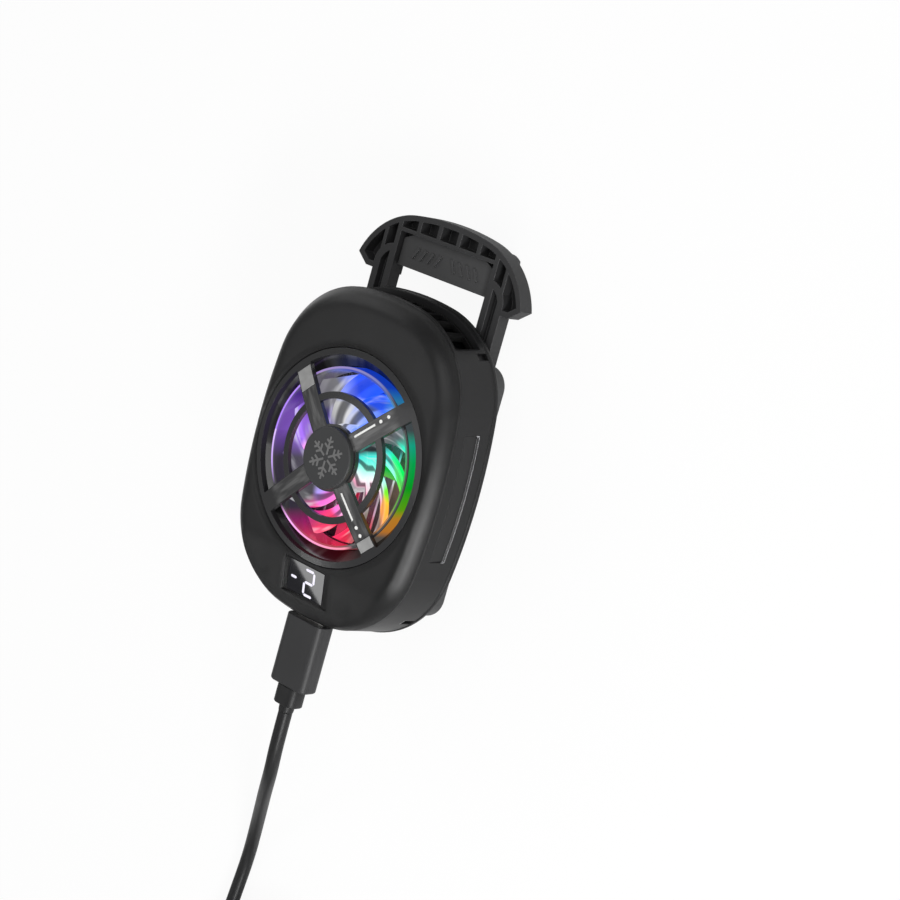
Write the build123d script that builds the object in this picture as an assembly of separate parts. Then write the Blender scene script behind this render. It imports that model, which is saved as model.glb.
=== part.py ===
from build123d import *
import os
from math import acos, atan2, cos, dist, pi, radians, sin, sqrt, tan

# Clip-on cooling fan for a phone.
# Every piece is drawn about the fan's axis, with zero height on the back of the phone,
# +Y towards the sliding jaw and +Z out of the fan's front. place() then stands the
# whole on the outer faces of its hooks, with the origin under the middle of its length.

# The phone that the clamp is drawn open for
phone_width = 77.6
phone_thickness = 7.85
jaw_travel = 10.0
fan_from_phone_edge = 30.1

# General clearances
slide_gap = 0.2
seat_gap = 0.15
running_gap = 0.04
cut_overrun = 1.0

# Housing outline: what it keeps free beside the fan and the display, and its radii
side_land = 4.8
end_land = 4.9
side_radius = 139.0
end_radius = 65.0
corner_radius = 23.0
cover_inset = 0.9
frame_foot_inset = 0.2

# Housing heights above the back of the phone
rim_bottom = 6.2
rim_top = 7.6
cover_bottom = 18.4
cover_top = 22.4

# Housing walls
cover_wall = 1.5
frame_wall = 1.4
cover_bevel_height = 3.5
cover_bevel_width = 2.6
cover_edge_round = 3.0
rim_round = 0.5
panel_bottom = 11.2
panel_top = 15.6
panel_low_land = 24.7
panel_high_land = 24.2
panel_recess = 0.35
panel_gap = 0.06
panel_lip = 0.4
notch_turn_deg = 43.5
notch_width = 1.7
notch_height = 3.3
notch_depth = 1.2
vent_side_land = 9.1
vent_bottom = 9.2
vent_top = 17.5
grille_inset = 0.9
grille_thickness = 1.1
grille_rail = 0.8
grille_bar_width = 0.9
grille_slot_count = 10

# Screws that close the housing, and their bosses
housing_screw_x = 13.5
housing_screw_end_land = 8.7
housing_screw_radius = 1.1
housing_screw_length = 7.5
screw_head_radius = 2.0
screw_head_height = 0.8
screw_head_gap = 0.1
boss_radius = 2.2

# Fan
fan_radius = 19.3
blade_root_sink = 0.4
blade_tip_gap = 0.4
blade_count = 11
blade_thickness = 0.8
blade_root_chord = 6.0
blade_tip_chord_share = 0.487
blade_pitch_deg = 38.0
blade_tip_pitch_deg = 24.0
blade_sweep_deg = 46.0
blade_low = 14.9
blade_high = 19.7
hub_radius = 7.8
hub_wall = 0.9
hub_top = 20.6
hub_round = 0.6
shaft_radius = 0.9
shaft_top = 20.3
magnet_thickness = 0.9
stator_radius = 5.5
stator_core_radius = 3.4
stator_pole_count = 4
stator_pole_width = 2.4
stator_shoe_thickness = 0.8
stator_shoe_deg = 62.0
stator_bottom = 15.5
stator_top = 18.2
bearing_radius = 1.9
motor_board_radius = 6.6
motor_board_thickness = 0.6

# Fan frame
frame_bottom = 13.4
frame_floor = 0.8
frame_top = 20.9
funnel_flare = 2.4
funnel_depth = 2.2
funnel_lip = 1.1
frame_arm_width = 2.6
frame_boss_radius = 2.5
led_board_margin = 1.5
led_board_thickness = 0.7
led_size = 1.5
led_height = 0.45
led_count = 12
light_ring_gap = 0.3
light_ring_wall = 0.9
light_ring_top = 21.8

# Guard over the fan
guard_ring_overlap = 0.4
guard_ring_width = 1.5
guard_ring_top = 22.3
guard_arm_width = 4.6
guard_arm_thickness = 1.1
guard_crown = 24.7
guard_middle_share = 0.772
guard_middle_width = 1.6
guard_hub_radius = 7.6
cap_radius = 7.1
cap_height = 1.4
cap_round = 0.5
cover_hole_gap = 0.2

# Display
display_from_guard = 5.1
display_pocket_width = 14.4
display_pocket_length = 8.8
display_rim = 0.5
display_tilt_deg = 11.6
display_surface_z = 20.8
window_width = 11.2
window_length = 7.6
window_shift = -0.5
window_thickness = 0.8
module_thickness = 1.2
module_margin = 0.4

# Cooling stack
pad_leg_gap = 1.25
pad_half_length = 14.0
pad_thickness = 0.8
cold_plate_thickness = 1.4
peltier_margin = 3.0
peltier_ceramic = 0.7
peltier_thickness = 3.2
peltier_core_inset = 0.8
gasket_gap = 0.3
sink_side_land = 10.2
sink_low_land = 18.2
sink_high_land = 11.7
sink_plate_top = 7.8
fin_top = 13.1
fin_thickness = 0.6
fin_count = 14

# Boards and socket
board_half_width = 10.8
board_end_land = 14.0
board_bottom = 13.2
board_thickness = 1.2
socket_width = 9.0
socket_height = 3.2
socket_wall = 0.25
socket_length = 7.4
plug_height_z = 16.0
chip_width = 4.0
chip_height = 0.9

# Clamp base
base_side_land = 5.6
base_end_land = 10.2
base_corner = 5.0
base_bottom = 0.2
base_edge_round = 1.0
well_gap = 0.1
base_screw_side_margin = 2.0
base_screw_end_margin = 7.0
base_screw_radius = 0.8
base_screw_head_radius = 1.3
base_screw_head_height = 0.9
base_boss_height = 2.4

# Jaw: its heights along Y are counted from the upper edge of the phone
leg_side_land = 12.55
leg_width = 5.6
leg_bottom = 1.0
jaw_front = 4.6
leg_inner_end = -8.0
groove_width = 2.1
groove_depth = 1.9
groove_end_y = 2.0
arch_top_rise = 8.75
arch_top_radius = 65.0
arch_shoulder_from_leg = 3.25
arch_shoulder_radius = 18.0
wing_side_drop = 4.5
wing_bottom_drop = 6.9
wing_bottom_reach = 2.15
wing_inner_margin = 0.45
arch_wall = 1.3
arch_floor = 0.8
arch_back = 0.5
bar_top_rise = 4.3
bar_thickness = 0.9
rib_places = (3.0, 9.15)
rib_thickness = 1.1
side_rib_margin = 1.35
side_rib_thickness = 0.9
main_rib_thickness = 1.2
web_top_drop = 0.5
web_thickness = 1.1
plate_side_gap = 0.5
plate_low_drop = 4.4
plate_corner = 2.6
plate_front = 3.3
grip_ridge_count = 9
grip_ridge_pitch = 2.3
grip_ridge_length = 3.0
grip_ridge_width = 0.6
grip_ridge_height = 0.35
grip_ridge_slant_deg = 28.0

# Hooks and their pads
hook_half_width = 10.0
hook_corner = 1.2
hook_gap = 0.65
lip_thickness = 2.0
jaw_hook_plate = 2.4
jaw_pad_thickness = 3.0
jaw_lip_reach = 4.0
lower_hook_plate = 2.2
lower_pad_thickness = 0.8
lower_lip_reach = 3.5
hook_pad_margin = 1.0
pad_rib_count = 4
pad_rib_depth = 0.6

# Strip springs of the jaw
drum_strip_gap = 0.35
drum_from_pad = 5.2
drum_radius = 3.6
drum_post_radius = 1.2
drum_bottom = 1.2
drum_height = 3.2
drum_flange = 0.5
drum_waist = 0.5
strip_thickness = 0.3
strip_overlap = 4.5

# Supply cord
cord_radius = 1.7
plug_shell_width = 8.3
plug_shell_height = 2.4
plug_shell_length = 6.4
plug_shell_wall = 0.3
plug_width = 11.6
plug_height = 6.0
plug_length = 16.5
plug_round = 2.2
plug_edge_round = 0.6
relief_length = 6.5
relief_radius = 3.1
relief_end_radius = 2.0
relief_groove_count = 3
relief_groove_depth = 0.5
relief_groove_width = 0.8
cord_steps = (
    (0.0, -8.1),
    (-1.6, -16.2),
    (-6.4, -24.0),
    (-11.8, -32.0),
    (-16.6, -40.6),
    (-19.8, -50.0),
    (-20.8, -61.0),
)
cord_drop_shares = (0.0, 0.1, 0.33, 0.6, 0.84, 1.0, 1.0)
cord_end_x = -21.2
cord_end_y = -83.0
cord_last_run = 9.0
corner_run_share = 0.45

# Rolled-up rest of the cord
coil_mid_radius = 20.0
coil_pitch = 3.95
coil_layer_rise = 3.95
coil_turns_per_layer = 3.5
coil_knots_per_turn = 4
straight_limit = 1e-9
coil_tail_length = 34.0
cord_sides = 8
coil_sides = 6
tie_width = 8.0
tie_thickness = 0.6
tie_gap = 0.3

# Far end of the cord
usb_body_width = 15.6
usb_body_height = 7.6
usb_body_length = 21.0
usb_body_round = 2.0
usb_shell_width = 12.0
usb_shell_height = 4.5
usb_shell_length = 12.0
usb_shell_wall = 0.35
usb_insulator_height = 1.9
usb_relief_length = 9.0
usb_relief_radius = 3.0
usb_insulator_setback = 0.5

# Sizes that follow from the fan outwards
light_ring_radius = fan_radius + blade_tip_gap + light_ring_wall
frame_bore_radius = light_ring_radius + light_ring_gap
funnel_radius = frame_bore_radius + funnel_flare
frame_ring_radius = funnel_radius + funnel_lip
guard_ring_radius = frame_ring_radius + guard_ring_overlap
led_board_radius = frame_bore_radius + led_board_margin
guard_middle_radius = fan_radius * guard_middle_share
blade_root_radius = hub_radius - blade_root_sink
blade_tip_chord = fan_radius * blade_tip_chord_share
display_centre_y = -(guard_ring_radius + display_from_guard)
rim_half_width = guard_ring_radius + side_land
rim_half_length = display_pocket_length / 2 - display_centre_y + end_land

# Sizes that follow from the housing outline inwards
panel_low_y = panel_low_land - rim_half_length
panel_high_y = rim_half_length - panel_high_land
vent_half_width = rim_half_width - vent_side_land
housing_screw_y = rim_half_length - housing_screw_end_land
sink_half_width = rim_half_width - sink_side_land
sink_low_y = sink_low_land - rim_half_length
sink_high_y = rim_half_length - sink_high_land
board_high_y = board_end_land - rim_half_length
base_half_width = rim_half_width - base_side_land
base_high_y = rim_half_length - base_end_land
base_screw_x = base_half_width - base_screw_side_margin
base_screw_y = base_high_y - base_screw_end_margin
leg_centre = rim_half_width - leg_side_land
leg_inner_x = leg_centre - leg_width / 2
leg_outer_x = leg_centre + leg_width / 2
pad_half_width = leg_inner_x - pad_leg_gap
peltier_half_width = pad_half_width - peltier_margin
drum_x = leg_inner_x - strip_thickness - drum_radius - drum_strip_gap
drum_y = -(pad_half_length + drum_from_pad)

# Places across the jaw
main_rib_inner_x = leg_inner_x
plate_half_width = main_rib_inner_x - plate_side_gap
arch_shoulder_x = leg_inner_x - arch_shoulder_from_leg
side_rib_x = leg_outer_x - side_rib_margin
wing_inner_x = leg_outer_x - wing_inner_margin
wing_bottom_x = leg_outer_x + wing_bottom_reach

# Places that follow from the phone and the housing
hook_depth = phone_thickness + hook_gap + lip_thickness
low_edge_y = -fan_from_phone_edge
high_edge_y = phone_width - fan_from_phone_edge
base_low_y = low_edge_y - lower_pad_thickness
arch_top_y = high_edge_y + arch_top_rise
bar_top_y = high_edge_y + bar_top_rise
web_top_y = high_edge_y - web_top_drop
plate_low_y = high_edge_y - plate_low_drop
wing_side_y = high_edge_y - wing_side_drop
wing_bottom_y = high_edge_y - wing_bottom_drop
shift_y = -(arch_top_y - rim_half_length) / 2
frame_inner_inset = cover_inset + frame_wall
board_low_y = end_radius - rim_half_length + 2 * seat_gap - sqrt(
    (end_radius - frame_inner_inset) ** 2 - board_half_width ** 2
)
plug_front_y = -(rim_half_length - frame_foot_inset) - seat_gap
dome_radius = (guard_ring_radius ** 2 + (guard_crown - guard_ring_top) ** 2) / (
    2 * (guard_crown - guard_ring_top)
)
cap_seat_z = guard_crown - (dome_radius - sqrt(dome_radius ** 2 - cap_radius ** 2))


# Helpers

def place(shape):
    """Moves a piece from the fan's axis to the frame of the whole part."""
    return Pos(0, shift_y, hook_depth) * shape


def slab(face, low, high):
    """Solid that stands on a flat outline between two heights."""
    return extrude(Pos(0, 0, low) * face, amount=high - low, dir=(0, 0, 1))


def block(low, high):
    """Box between two opposite corners."""
    size = [b - a for a, b in zip(low, high)]
    middle = [(a + b) / 2 for a, b in zip(low, high)]
    return Pos(*middle) * Box(*size)


def disc(radius, low, high, x=0, y=0):
    """Upright cylinder between two heights."""
    return Pos(x, y, (low + high) / 2) * Cylinder(radius, high - low)


def ring(outer, inner, low, high):
    """Upright ring between two heights."""
    return disc(outer, low, high) - disc(inner, low - cut_overrun, high + cut_overrun)


def rectangle(x_low, x_high, y_low, y_high):
    """Flat rectangle between two corners."""
    middle = Pos((x_low + x_high) / 2, (y_low + y_high) / 2)
    return middle * Rectangle(x_high - x_low, y_high - y_low)


def both_sides(shape):
    """The piece and its mirror image across the middle."""
    return shape + mirror(shape, about=Plane.YZ)


def corners(x, y):
    """Four places, one in each corner."""
    return [(x, y), (-x, y), (x, -y), (-x, -y)]


def outline_corner():
    """Centre of the outline's corner arc, and the turns where it meets the side and the end."""
    side_x = rim_half_width - side_radius
    end_y = rim_half_length - end_radius
    to_side = side_radius - corner_radius
    to_end = end_radius - corner_radius
    apart = sqrt(side_x ** 2 + end_y ** 2)
    along = (to_side ** 2 - to_end ** 2 + apart ** 2) / (2 * apart)
    across = sqrt(to_side ** 2 - along ** 2)
    x = side_x + (-side_x * along - end_y * across) / apart
    y = (end_y * along - side_x * across) / apart
    return x, y, atan2(y, x - side_x), atan2(y - end_y, x)


def barrel(inset):
    """Housing outline drawn in by an inset: side, end and corner arcs, all tangent."""
    corner_x, corner_y, side_turn, end_turn = outline_corner()
    radius = corner_radius - inset
    side, middle, end = [
        (corner_x + radius * cos(turn), corner_y + radius * sin(turn))
        for turn in (side_turn, (side_turn + end_turn) / 2, end_turn)
    ]
    edges = []
    for sign in (1, -1):
        upper = [(sign * x, sign * y) for x, y in (side, middle, end)]
        lower = [(x, -y) for x, y in upper]
        over = (-upper[2][0], upper[2][1])
        edges.append(ThreePointArc(lower[0], (sign * (rim_half_width - inset), 0), upper[0]))
        edges.append(ThreePointArc(*upper))
        edges.append(ThreePointArc(upper[2], (0, sign * (rim_half_length - inset)), over))
        edges.append(ThreePointArc(*lower))
    return make_face(edges)


def drafted(low_inset, high_inset, low, high):
    """Solid between two insets of the outline, one at its foot and one at its top."""
    return loft([Pos(0, 0, low) * barrel(low_inset), Pos(0, 0, high) * barrel(high_inset)], ruled=True)


def wall(inset, thickness, low, high):
    """Upright wall that follows the housing outline."""
    outside = slab(barrel(inset), low, high)
    return outside - slab(barrel(inset + thickness), low - cut_overrun, high + cut_overrun)


def pill(width, height, low_y, high_y, z=0):
    """Bar along Y with a rounded slot shape for its section."""
    section = Plane.XZ * SlotOverall(width, height)
    return Pos(0, low_y, z) * extrude(section, amount=high_y - low_y, dir=(0, 1, 0))


# Housing

def bevelled(solid, height, width):
    """Bevels the upper edge of an upright solid."""
    top = solid.faces().sort_by(Axis.Z)[-1]
    return chamfer(top.edges(), width, height, reference=top)


def display_place():
    """Sloped plane of the display, with its origin at the middle of the window."""
    return Pos(0, display_centre_y, display_surface_z) * Rot(display_tilt_deg, 0, 0)


def above_display(rise):
    """Space above the display's plane, raised along the plane's own upright."""
    size = 2 * rim_half_length
    return display_place() * Pos(0, 0, rise + size / 2) * Box(size, size, size)


def front_cover():
    """Front shell: flat crown that slopes off under the display, bevelled edge, fan opening."""
    shell = slab(barrel(cover_inset), cover_bottom, cover_top)
    shell = bevelled(shell, cover_bevel_height, cover_bevel_width)
    shell = fillet(shell.faces().sort_by(Axis.Z)[-1].edges(), cover_edge_round)
    shell -= above_display(display_rim)
    inner_low = cover_bottom - cut_overrun
    hollow = slab(barrel(cover_inset + cover_wall), inner_low, cover_top - cover_wall)
    hollow = bevelled(hollow, cover_bevel_height - cover_wall / 2, cover_bevel_width - cover_wall / 2)
    hollow -= above_display(-window_thickness)
    envelope = shell
    shell -= hollow
    tray_width = display_pocket_width + 2 * cover_wall
    tray_length = display_pocket_length + 2 * cover_wall
    tray_height = cover_top - cover_bottom
    tray_box = Pos(0, 0, tray_height / 2 - window_thickness)
    shell += (display_place() * tray_box * Box(tray_width, tray_length, tray_height)) & envelope
    pocket_box = Pos(0, 0, tray_height / 2)
    pocket = Box(display_pocket_width, display_pocket_length, tray_height)
    shell -= display_place() * pocket_box * pocket
    shell -= display_place() * Pos(window_shift, 0, 0) * Box(
        window_width + 2 * seat_gap, window_length + 2 * seat_gap, 2 * tray_height
    )
    shell -= disc(
        guard_ring_radius + cover_hole_gap, cover_bottom - cut_overrun, cover_top + cut_overrun
    )
    for x, y in corners(housing_screw_x, housing_screw_y):
        boss = disc(boss_radius, rim_top, cover_top - cover_wall, x, y)
        bore_top = rim_top + housing_screw_length
        boss -= disc(housing_screw_radius + running_gap, rim_top - cut_overrun, bore_top, x, y)
        shell += boss - display_place() * pocket_box * pocket
    return shell


def side_window(gap):
    """Space in the right side wall that holds a side panel, or the panel's own outline."""
    return block(
        (0, panel_low_y + gap, panel_bottom + gap),
        (rim_half_width, panel_high_y - gap, panel_top - gap),
    )


def frame_inset_at(z):
    """Inset of the sloped side wall at a height."""
    share = (z - rim_top) / (cover_bottom - rim_top)
    return frame_foot_inset + (cover_inset - frame_foot_inset) * share


def notch(side_x, side_y):
    """Small upright slot in one corner, at the foot of the wall."""
    x, y = outline_corner()[:2]
    middle_z = rim_top + (notch_height - cut_overrun) / 2
    slot = Pos(corner_radius, 0, middle_z) * Box(
        2 * notch_depth, notch_width, notch_height + cut_overrun
    )
    slot = Pos(x, y, 0) * Rot(0, 0, notch_turn_deg) * slot
    if side_x < 0:
        slot = mirror(slot, about=Plane.YZ)
    if side_y < 0:
        slot = mirror(slot, about=Plane.XZ)
    return slot


def vent_window(gap):
    """Space in the end wall that holds the slatted vent, or the vent's own outline."""
    return block(
        (-vent_half_width + gap, 0, vent_bottom + gap),
        (vent_half_width - gap, rim_half_length, vent_top - gap),
    )


def middle_frame():
    """Sloped side wall with the side windows, the vent, the corner slots and the plug opening."""
    shell = drafted(frame_foot_inset, cover_inset, rim_top, cover_bottom)
    shell -= slab(barrel(frame_inner_inset), rim_top - cut_overrun, cover_bottom + cut_overrun)
    shell -= both_sides(side_window(0))
    sills = shell.edges().filter_by_position(
        Axis.Z, panel_bottom - running_gap, panel_bottom + running_gap
    )
    sills = sills.sort_by(Axis.X)
    shell = chamfer([sills[0], sills[-1]], panel_lip)
    shell -= vent_window(0)
    for x, y in corners(1, 1):
        shell -= notch(x, y)
    shell -= pill(
        socket_width + 2 * seat_gap,
        socket_height + 2 * seat_gap,
        -rim_half_length,
        -rim_half_length + frame_inner_inset + cut_overrun,
        plug_height_z,
    )
    return shell


def side_panel():
    """Right side panel: flush with the wall at its upper edge and set back at its lower one."""
    panel = drafted(
        frame_inset_at(panel_bottom) + panel_recess, frame_inset_at(panel_top), panel_bottom, panel_top
    )
    panel -= slab(barrel(frame_inner_inset), panel_bottom - cut_overrun, panel_top + cut_overrun)
    return panel & side_window(panel_gap)


def exhaust_grille():
    """Vent with upright slots, set back in the end wall."""
    grille = wall(cover_inset + grille_inset, grille_thickness, vent_bottom, vent_top)
    grille &= vent_window(seat_gap)
    edge = seat_gap + grille_rail
    pitch = 2 * (vent_half_width - edge) / grille_slot_count
    half_slot = (pitch - grille_bar_width) / 2
    for index in range(grille_slot_count):
        x = (index - (grille_slot_count - 1) / 2) * pitch
        grille -= block(
            (x - half_slot, 0, vent_bottom + edge),
            (x + half_slot, rim_half_length, vent_top - edge),
        )
    return grille


def rear_cover():
    """Back plate with the rim, the opening for the heat sink and the screw holes."""
    plate = slab(barrel(0), rim_bottom, rim_top)
    plate = fillet(plate.faces().sort_by(Axis.Z)[0].edges(), rim_round)
    plate = fillet(plate.faces().sort_by(Axis.Z)[-1].edges(), rim_round)
    for x, y in corners(base_screw_x, base_screw_y):
        plate += disc(base_screw_head_radius, rim_top - rim_round, rim_top + base_boss_height, x, y)
    plate -= block(
        (-sink_half_width - well_gap, sink_low_y - well_gap, rim_bottom - cut_overrun),
        (sink_half_width + well_gap, sink_high_y + well_gap, rim_top + cut_overrun),
    )
    head_top = rim_bottom + screw_head_height + screw_head_gap
    for x, y in corners(housing_screw_x, housing_screw_y):
        plate -= disc(screw_head_radius + screw_head_gap, rim_bottom - cut_overrun, head_top, x, y)
        plate -= disc(
            housing_screw_radius + screw_head_gap, rim_bottom, rim_top + cut_overrun, x, y
        )
    for x, y in corners(base_screw_x, base_screw_y):
        plate -= disc(
            base_screw_radius + running_gap,
            rim_bottom - cut_overrun,
            rim_top + base_boss_height - running_gap,
            x,
            y,
        )
    return plate


def housing_screws():
    """Four screws from the back plate into the bosses of the front cover."""
    head_top = rim_bottom + screw_head_height
    screws = Part()
    for x, y in corners(housing_screw_x, housing_screw_y):
        screw = disc(screw_head_radius, rim_bottom, head_top, x, y)
        tip = rim_top + housing_screw_length - screw_head_gap
        screws += screw + disc(housing_screw_radius, head_top, tip, x, y)
    return screws


# Fan

def fan_frame():
    """Funnel-mouthed ring on four arms that carry the bearing boss."""
    frame = ring(frame_ring_radius, frame_bore_radius, frame_bottom, frame_top)
    funnel = Pos(0, 0, frame_top - funnel_depth / 2) * Cone(
        frame_bore_radius, funnel_radius, funnel_depth
    )
    frame -= funnel
    board_low = frame_bottom + frame_floor
    frame -= ring(
        led_board_radius + seat_gap,
        light_ring_radius - light_ring_wall,
        board_low,
        board_low + led_board_thickness + led_height + seat_gap,
    )
    arm = block(
        (0, -frame_arm_width / 2, frame_bottom),
        (frame_bore_radius + light_ring_wall, frame_arm_width / 2, board_low),
    )
    for turn in range(4):
        frame += Rot(0, 0, turn * 360 / 4) * arm
    frame += disc(motor_board_radius, frame_bottom, board_low)
    frame += disc(frame_boss_radius, frame_bottom, stator_top)
    frame -= disc(bearing_radius, board_low, stator_top + cut_overrun)
    return frame


def shaft_bearing():
    """Plain sleeve that the shaft turns in."""
    return ring(bearing_radius, shaft_radius + running_gap, frame_bottom + frame_floor, stator_top)


def motor_board():
    """Round board of the motor on the frame's middle."""
    low = frame_bottom + frame_floor
    return ring(motor_board_radius, frame_boss_radius + seat_gap, low, low + motor_board_thickness)


def motor_stator():
    """Four poles with curved shoes round the bearing boss."""
    stator = ring(stator_core_radius, frame_boss_radius + seat_gap, stator_bottom, stator_top)
    shoes = ring(
        stator_radius, stator_radius - stator_shoe_thickness, stator_bottom, stator_top
    )
    reach = 2 * stator_radius
    half = radians(stator_shoe_deg / 2)
    wedge = slab(
        make_face(Polyline((0, 0), (reach, -reach * tan(half)), (reach, reach * tan(half)), close=True)),
        stator_bottom,
        stator_top,
    )
    pole = block(
        (stator_core_radius - seat_gap, -stator_pole_width / 2, stator_bottom),
        (stator_radius - stator_shoe_thickness / 2, stator_pole_width / 2, stator_top),
    )
    for turn in range(stator_pole_count):
        place_round = Rot(0, 0, (turn + 1 / 2) * 360 / stator_pole_count)
        stator += place_round * ((shoes & wedge) + pole)
    return stator


def blade():
    """One swept blade, lofted from root to tip with its chord growing and its pitch easing."""
    sections = []
    middle_z = (blade_low + blade_high) / 2
    tip_radius = sqrt(fan_radius ** 2 - (blade_tip_chord / 2) ** 2)
    for share in (0, 1 / 2, 1):
        radius = blade_root_radius + (tip_radius - blade_root_radius) * share
        chord = blade_root_chord + (blade_tip_chord - blade_root_chord) * share
        pitch = blade_pitch_deg + (blade_tip_pitch_deg - blade_pitch_deg) * share
        flat = Plane.YZ * Rot(0, 0, pitch) * Rectangle(chord, blade_thickness)
        sections.append(Rot(0, 0, -blade_sweep_deg * share) * Pos(radius, 0, middle_z) * flat)
    return loft(sections)


def impeller():
    """Hub cup with its ring of swept blades."""
    cup = disc(hub_radius, stator_bottom, hub_top)
    cup = fillet(cup.faces().sort_by(Axis.Z)[-1].edges(), hub_round)
    cup -= disc(hub_radius - hub_wall, stator_bottom - cut_overrun, hub_top - hub_wall)
    cup += disc(bearing_radius, stator_top + seat_gap, hub_top - hub_wall / 2)
    cup -= disc(shaft_radius, stator_top, shaft_top)
    one = blade()
    for turn in range(blade_count):
        cup += Rot(0, 0, turn * 360 / blade_count) * one
    return cup


def fan_shaft():
    """Shaft pressed into the hub."""
    return disc(shaft_radius, frame_bottom + frame_floor + running_gap, shaft_top)


def rotor_magnet():
    """Ring magnet inside the hub cup."""
    outer = hub_radius - hub_wall
    return ring(outer, outer - magnet_thickness, stator_bottom, stator_top)


def led_board():
    """Ring board under the light ring, with its lamps."""
    low = frame_bottom + frame_floor
    high = low + led_board_thickness
    inner = light_ring_radius - light_ring_wall
    board = ring(led_board_radius, inner, low, high)
    middle = light_ring_radius - light_ring_wall / 2
    lamp = block(
        (middle - led_size / 2, -led_size / 2, high),
        (middle + led_size / 2, led_size / 2, high + led_height),
    )
    lamp &= ring(led_board_radius, inner, low, high + led_height)
    for turn in range(led_count):
        board += Rot(0, 0, (turn + 1 / 2) * 360 / led_count) * lamp
    return board


def light_ring():
    """Clear ring between the lamps and the guard."""
    low = frame_bottom + frame_floor + led_board_thickness + led_height + seat_gap
    return ring(light_ring_radius, light_ring_radius - light_ring_wall, low, light_ring_top)


def fan_guard():
    """Domed guard: four arms, an outer ring, a middle ring and the hub plate."""
    centre_z = guard_crown - dome_radius
    dome = Pos(0, 0, centre_z) * Sphere(dome_radius)
    dome -= Pos(0, 0, centre_z) * Sphere(dome_radius - guard_arm_thickness)
    dome &= disc(guard_ring_radius, frame_top, guard_crown + cut_overrun)
    high = guard_crown + cut_overrun
    keep = ring(guard_ring_radius, guard_ring_radius - guard_ring_width, frame_top, high)
    keep += ring(
        guard_middle_radius, guard_middle_radius - guard_middle_width, frame_top, high
    )
    keep += disc(guard_hub_radius, frame_top, high)
    arm = block((0, -guard_arm_width / 2, frame_top), (guard_ring_radius, guard_arm_width / 2, high))
    for turn in range(4):
        keep += Rot(0, 0, (turn + 1 / 2) * 360 / 4) * arm
    keep -= disc(cap_radius + cap_round, cap_seat_z, high)
    guard = dome & keep
    rim_z = guard_ring_top - guard_arm_thickness / 2
    guard += ring(guard_ring_radius, guard_ring_radius - guard_ring_width, frame_top, rim_z)
    return guard


def hub_cap():
    """Round cap on the middle of the guard."""
    cap = disc(cap_radius, cap_seat_z, cap_seat_z + cap_height)
    return fillet(cap.faces().sort_by(Axis.Z)[-1].edges(), cap_round)


# Display, boards and socket

def display_window():
    """Clear window, flush with the sloped tray."""
    return display_place() * Pos(window_shift, 0, -window_thickness / 2) * Box(
        window_width, window_length, window_thickness
    )


def display_module():
    """Digit module under the window."""
    return display_place() * Pos(window_shift, 0, -window_thickness - module_thickness / 2) * Box(
        window_width + 2 * module_margin, window_length + 2 * module_margin, module_thickness
    )


def control_board():
    """Board behind the socket, with its controller chip."""
    top = board_bottom + board_thickness
    board = block(
        (-board_half_width, board_low_y, board_bottom), (board_half_width, board_high_y, top)
    )
    chip_x = (board_half_width + socket_width / 2) / 2
    chip_y = board_high_y - chip_width
    chip = block(
        (chip_x - chip_width / 2, chip_y - chip_width / 2, top),
        (chip_x + chip_width / 2, chip_y + chip_width / 2, top + chip_height),
    )
    return board + both_sides(chip)


def usb_socket():
    """Slot-shaped socket on the board, with its tongue."""
    mouth = -rim_half_length + cover_inset + seat_gap
    back = mouth + socket_length
    socket = pill(socket_width, socket_height, mouth, back, plug_height_z)
    inner_width = socket_width - 2 * socket_wall
    inner_height = socket_height - 2 * socket_wall
    socket -= pill(
        inner_width, inner_height, mouth - cut_overrun, back - socket_wall, plug_height_z
    )
    tongue_half = inner_width / 2 - inner_height / 2
    tongue_thick = socket_wall * 2
    socket += block(
        (-tongue_half, mouth + frame_wall, plug_height_z - tongue_thick / 2),
        (tongue_half, back - socket_wall, plug_height_z + tongue_thick / 2),
    )
    return socket


# Cooling stack

def silicone_pad():
    """Soft pad that touches the phone."""
    return block(
        (-pad_half_width, -pad_half_length, 0), (pad_half_width, pad_half_length, pad_thickness)
    )


def cold_plate():
    """Metal plate over the pad."""
    return block(
        (-pad_half_width, -pad_half_length, pad_thickness),
        (pad_half_width, pad_half_length, pad_thickness + cold_plate_thickness),
    )


def peltier_module():
    """Two ceramic plates with the cooling elements between them."""
    low = pad_thickness + cold_plate_thickness
    high = low + peltier_thickness
    inner = peltier_half_width - peltier_core_inset
    module = block(
        (-peltier_half_width, -peltier_half_width, low),
        (peltier_half_width, peltier_half_width, low + peltier_ceramic),
    )
    module += block((-inner, -inner, low), (inner, inner, high))
    module += block(
        (-peltier_half_width, -peltier_half_width, high - peltier_ceramic),
        (peltier_half_width, peltier_half_width, high),
    )
    return module


def insulation_gasket():
    """Foam frame round the cooling module."""
    low = pad_thickness + cold_plate_thickness
    high = low + peltier_thickness
    inner = peltier_half_width + gasket_gap
    return block((-pad_half_width, -pad_half_length, low), (pad_half_width, pad_half_length, high)) - (
        block((-inner, -inner, low - cut_overrun), (inner, inner, high + cut_overrun))
    )


def heat_sink():
    """Finned plate, with a foot that reaches the cooling module."""
    foot_low = pad_thickness + cold_plate_thickness + peltier_thickness
    sink = block(
        (-pad_half_width, -pad_half_length, foot_low), (pad_half_width, pad_half_length, rim_bottom)
    )
    sink += block(
        (-sink_half_width, sink_low_y, rim_bottom), (sink_half_width, sink_high_y, sink_plate_top)
    )
    step = (2 * sink_half_width - fin_thickness) / (fin_count - 1)
    for index in range(fin_count):
        x = -sink_half_width + index * step
        sink += block((x, sink_low_y, rim_bottom), (x + fin_thickness, sink_high_y, fin_top))
    return sink


# Clamp base and lower hook

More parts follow.
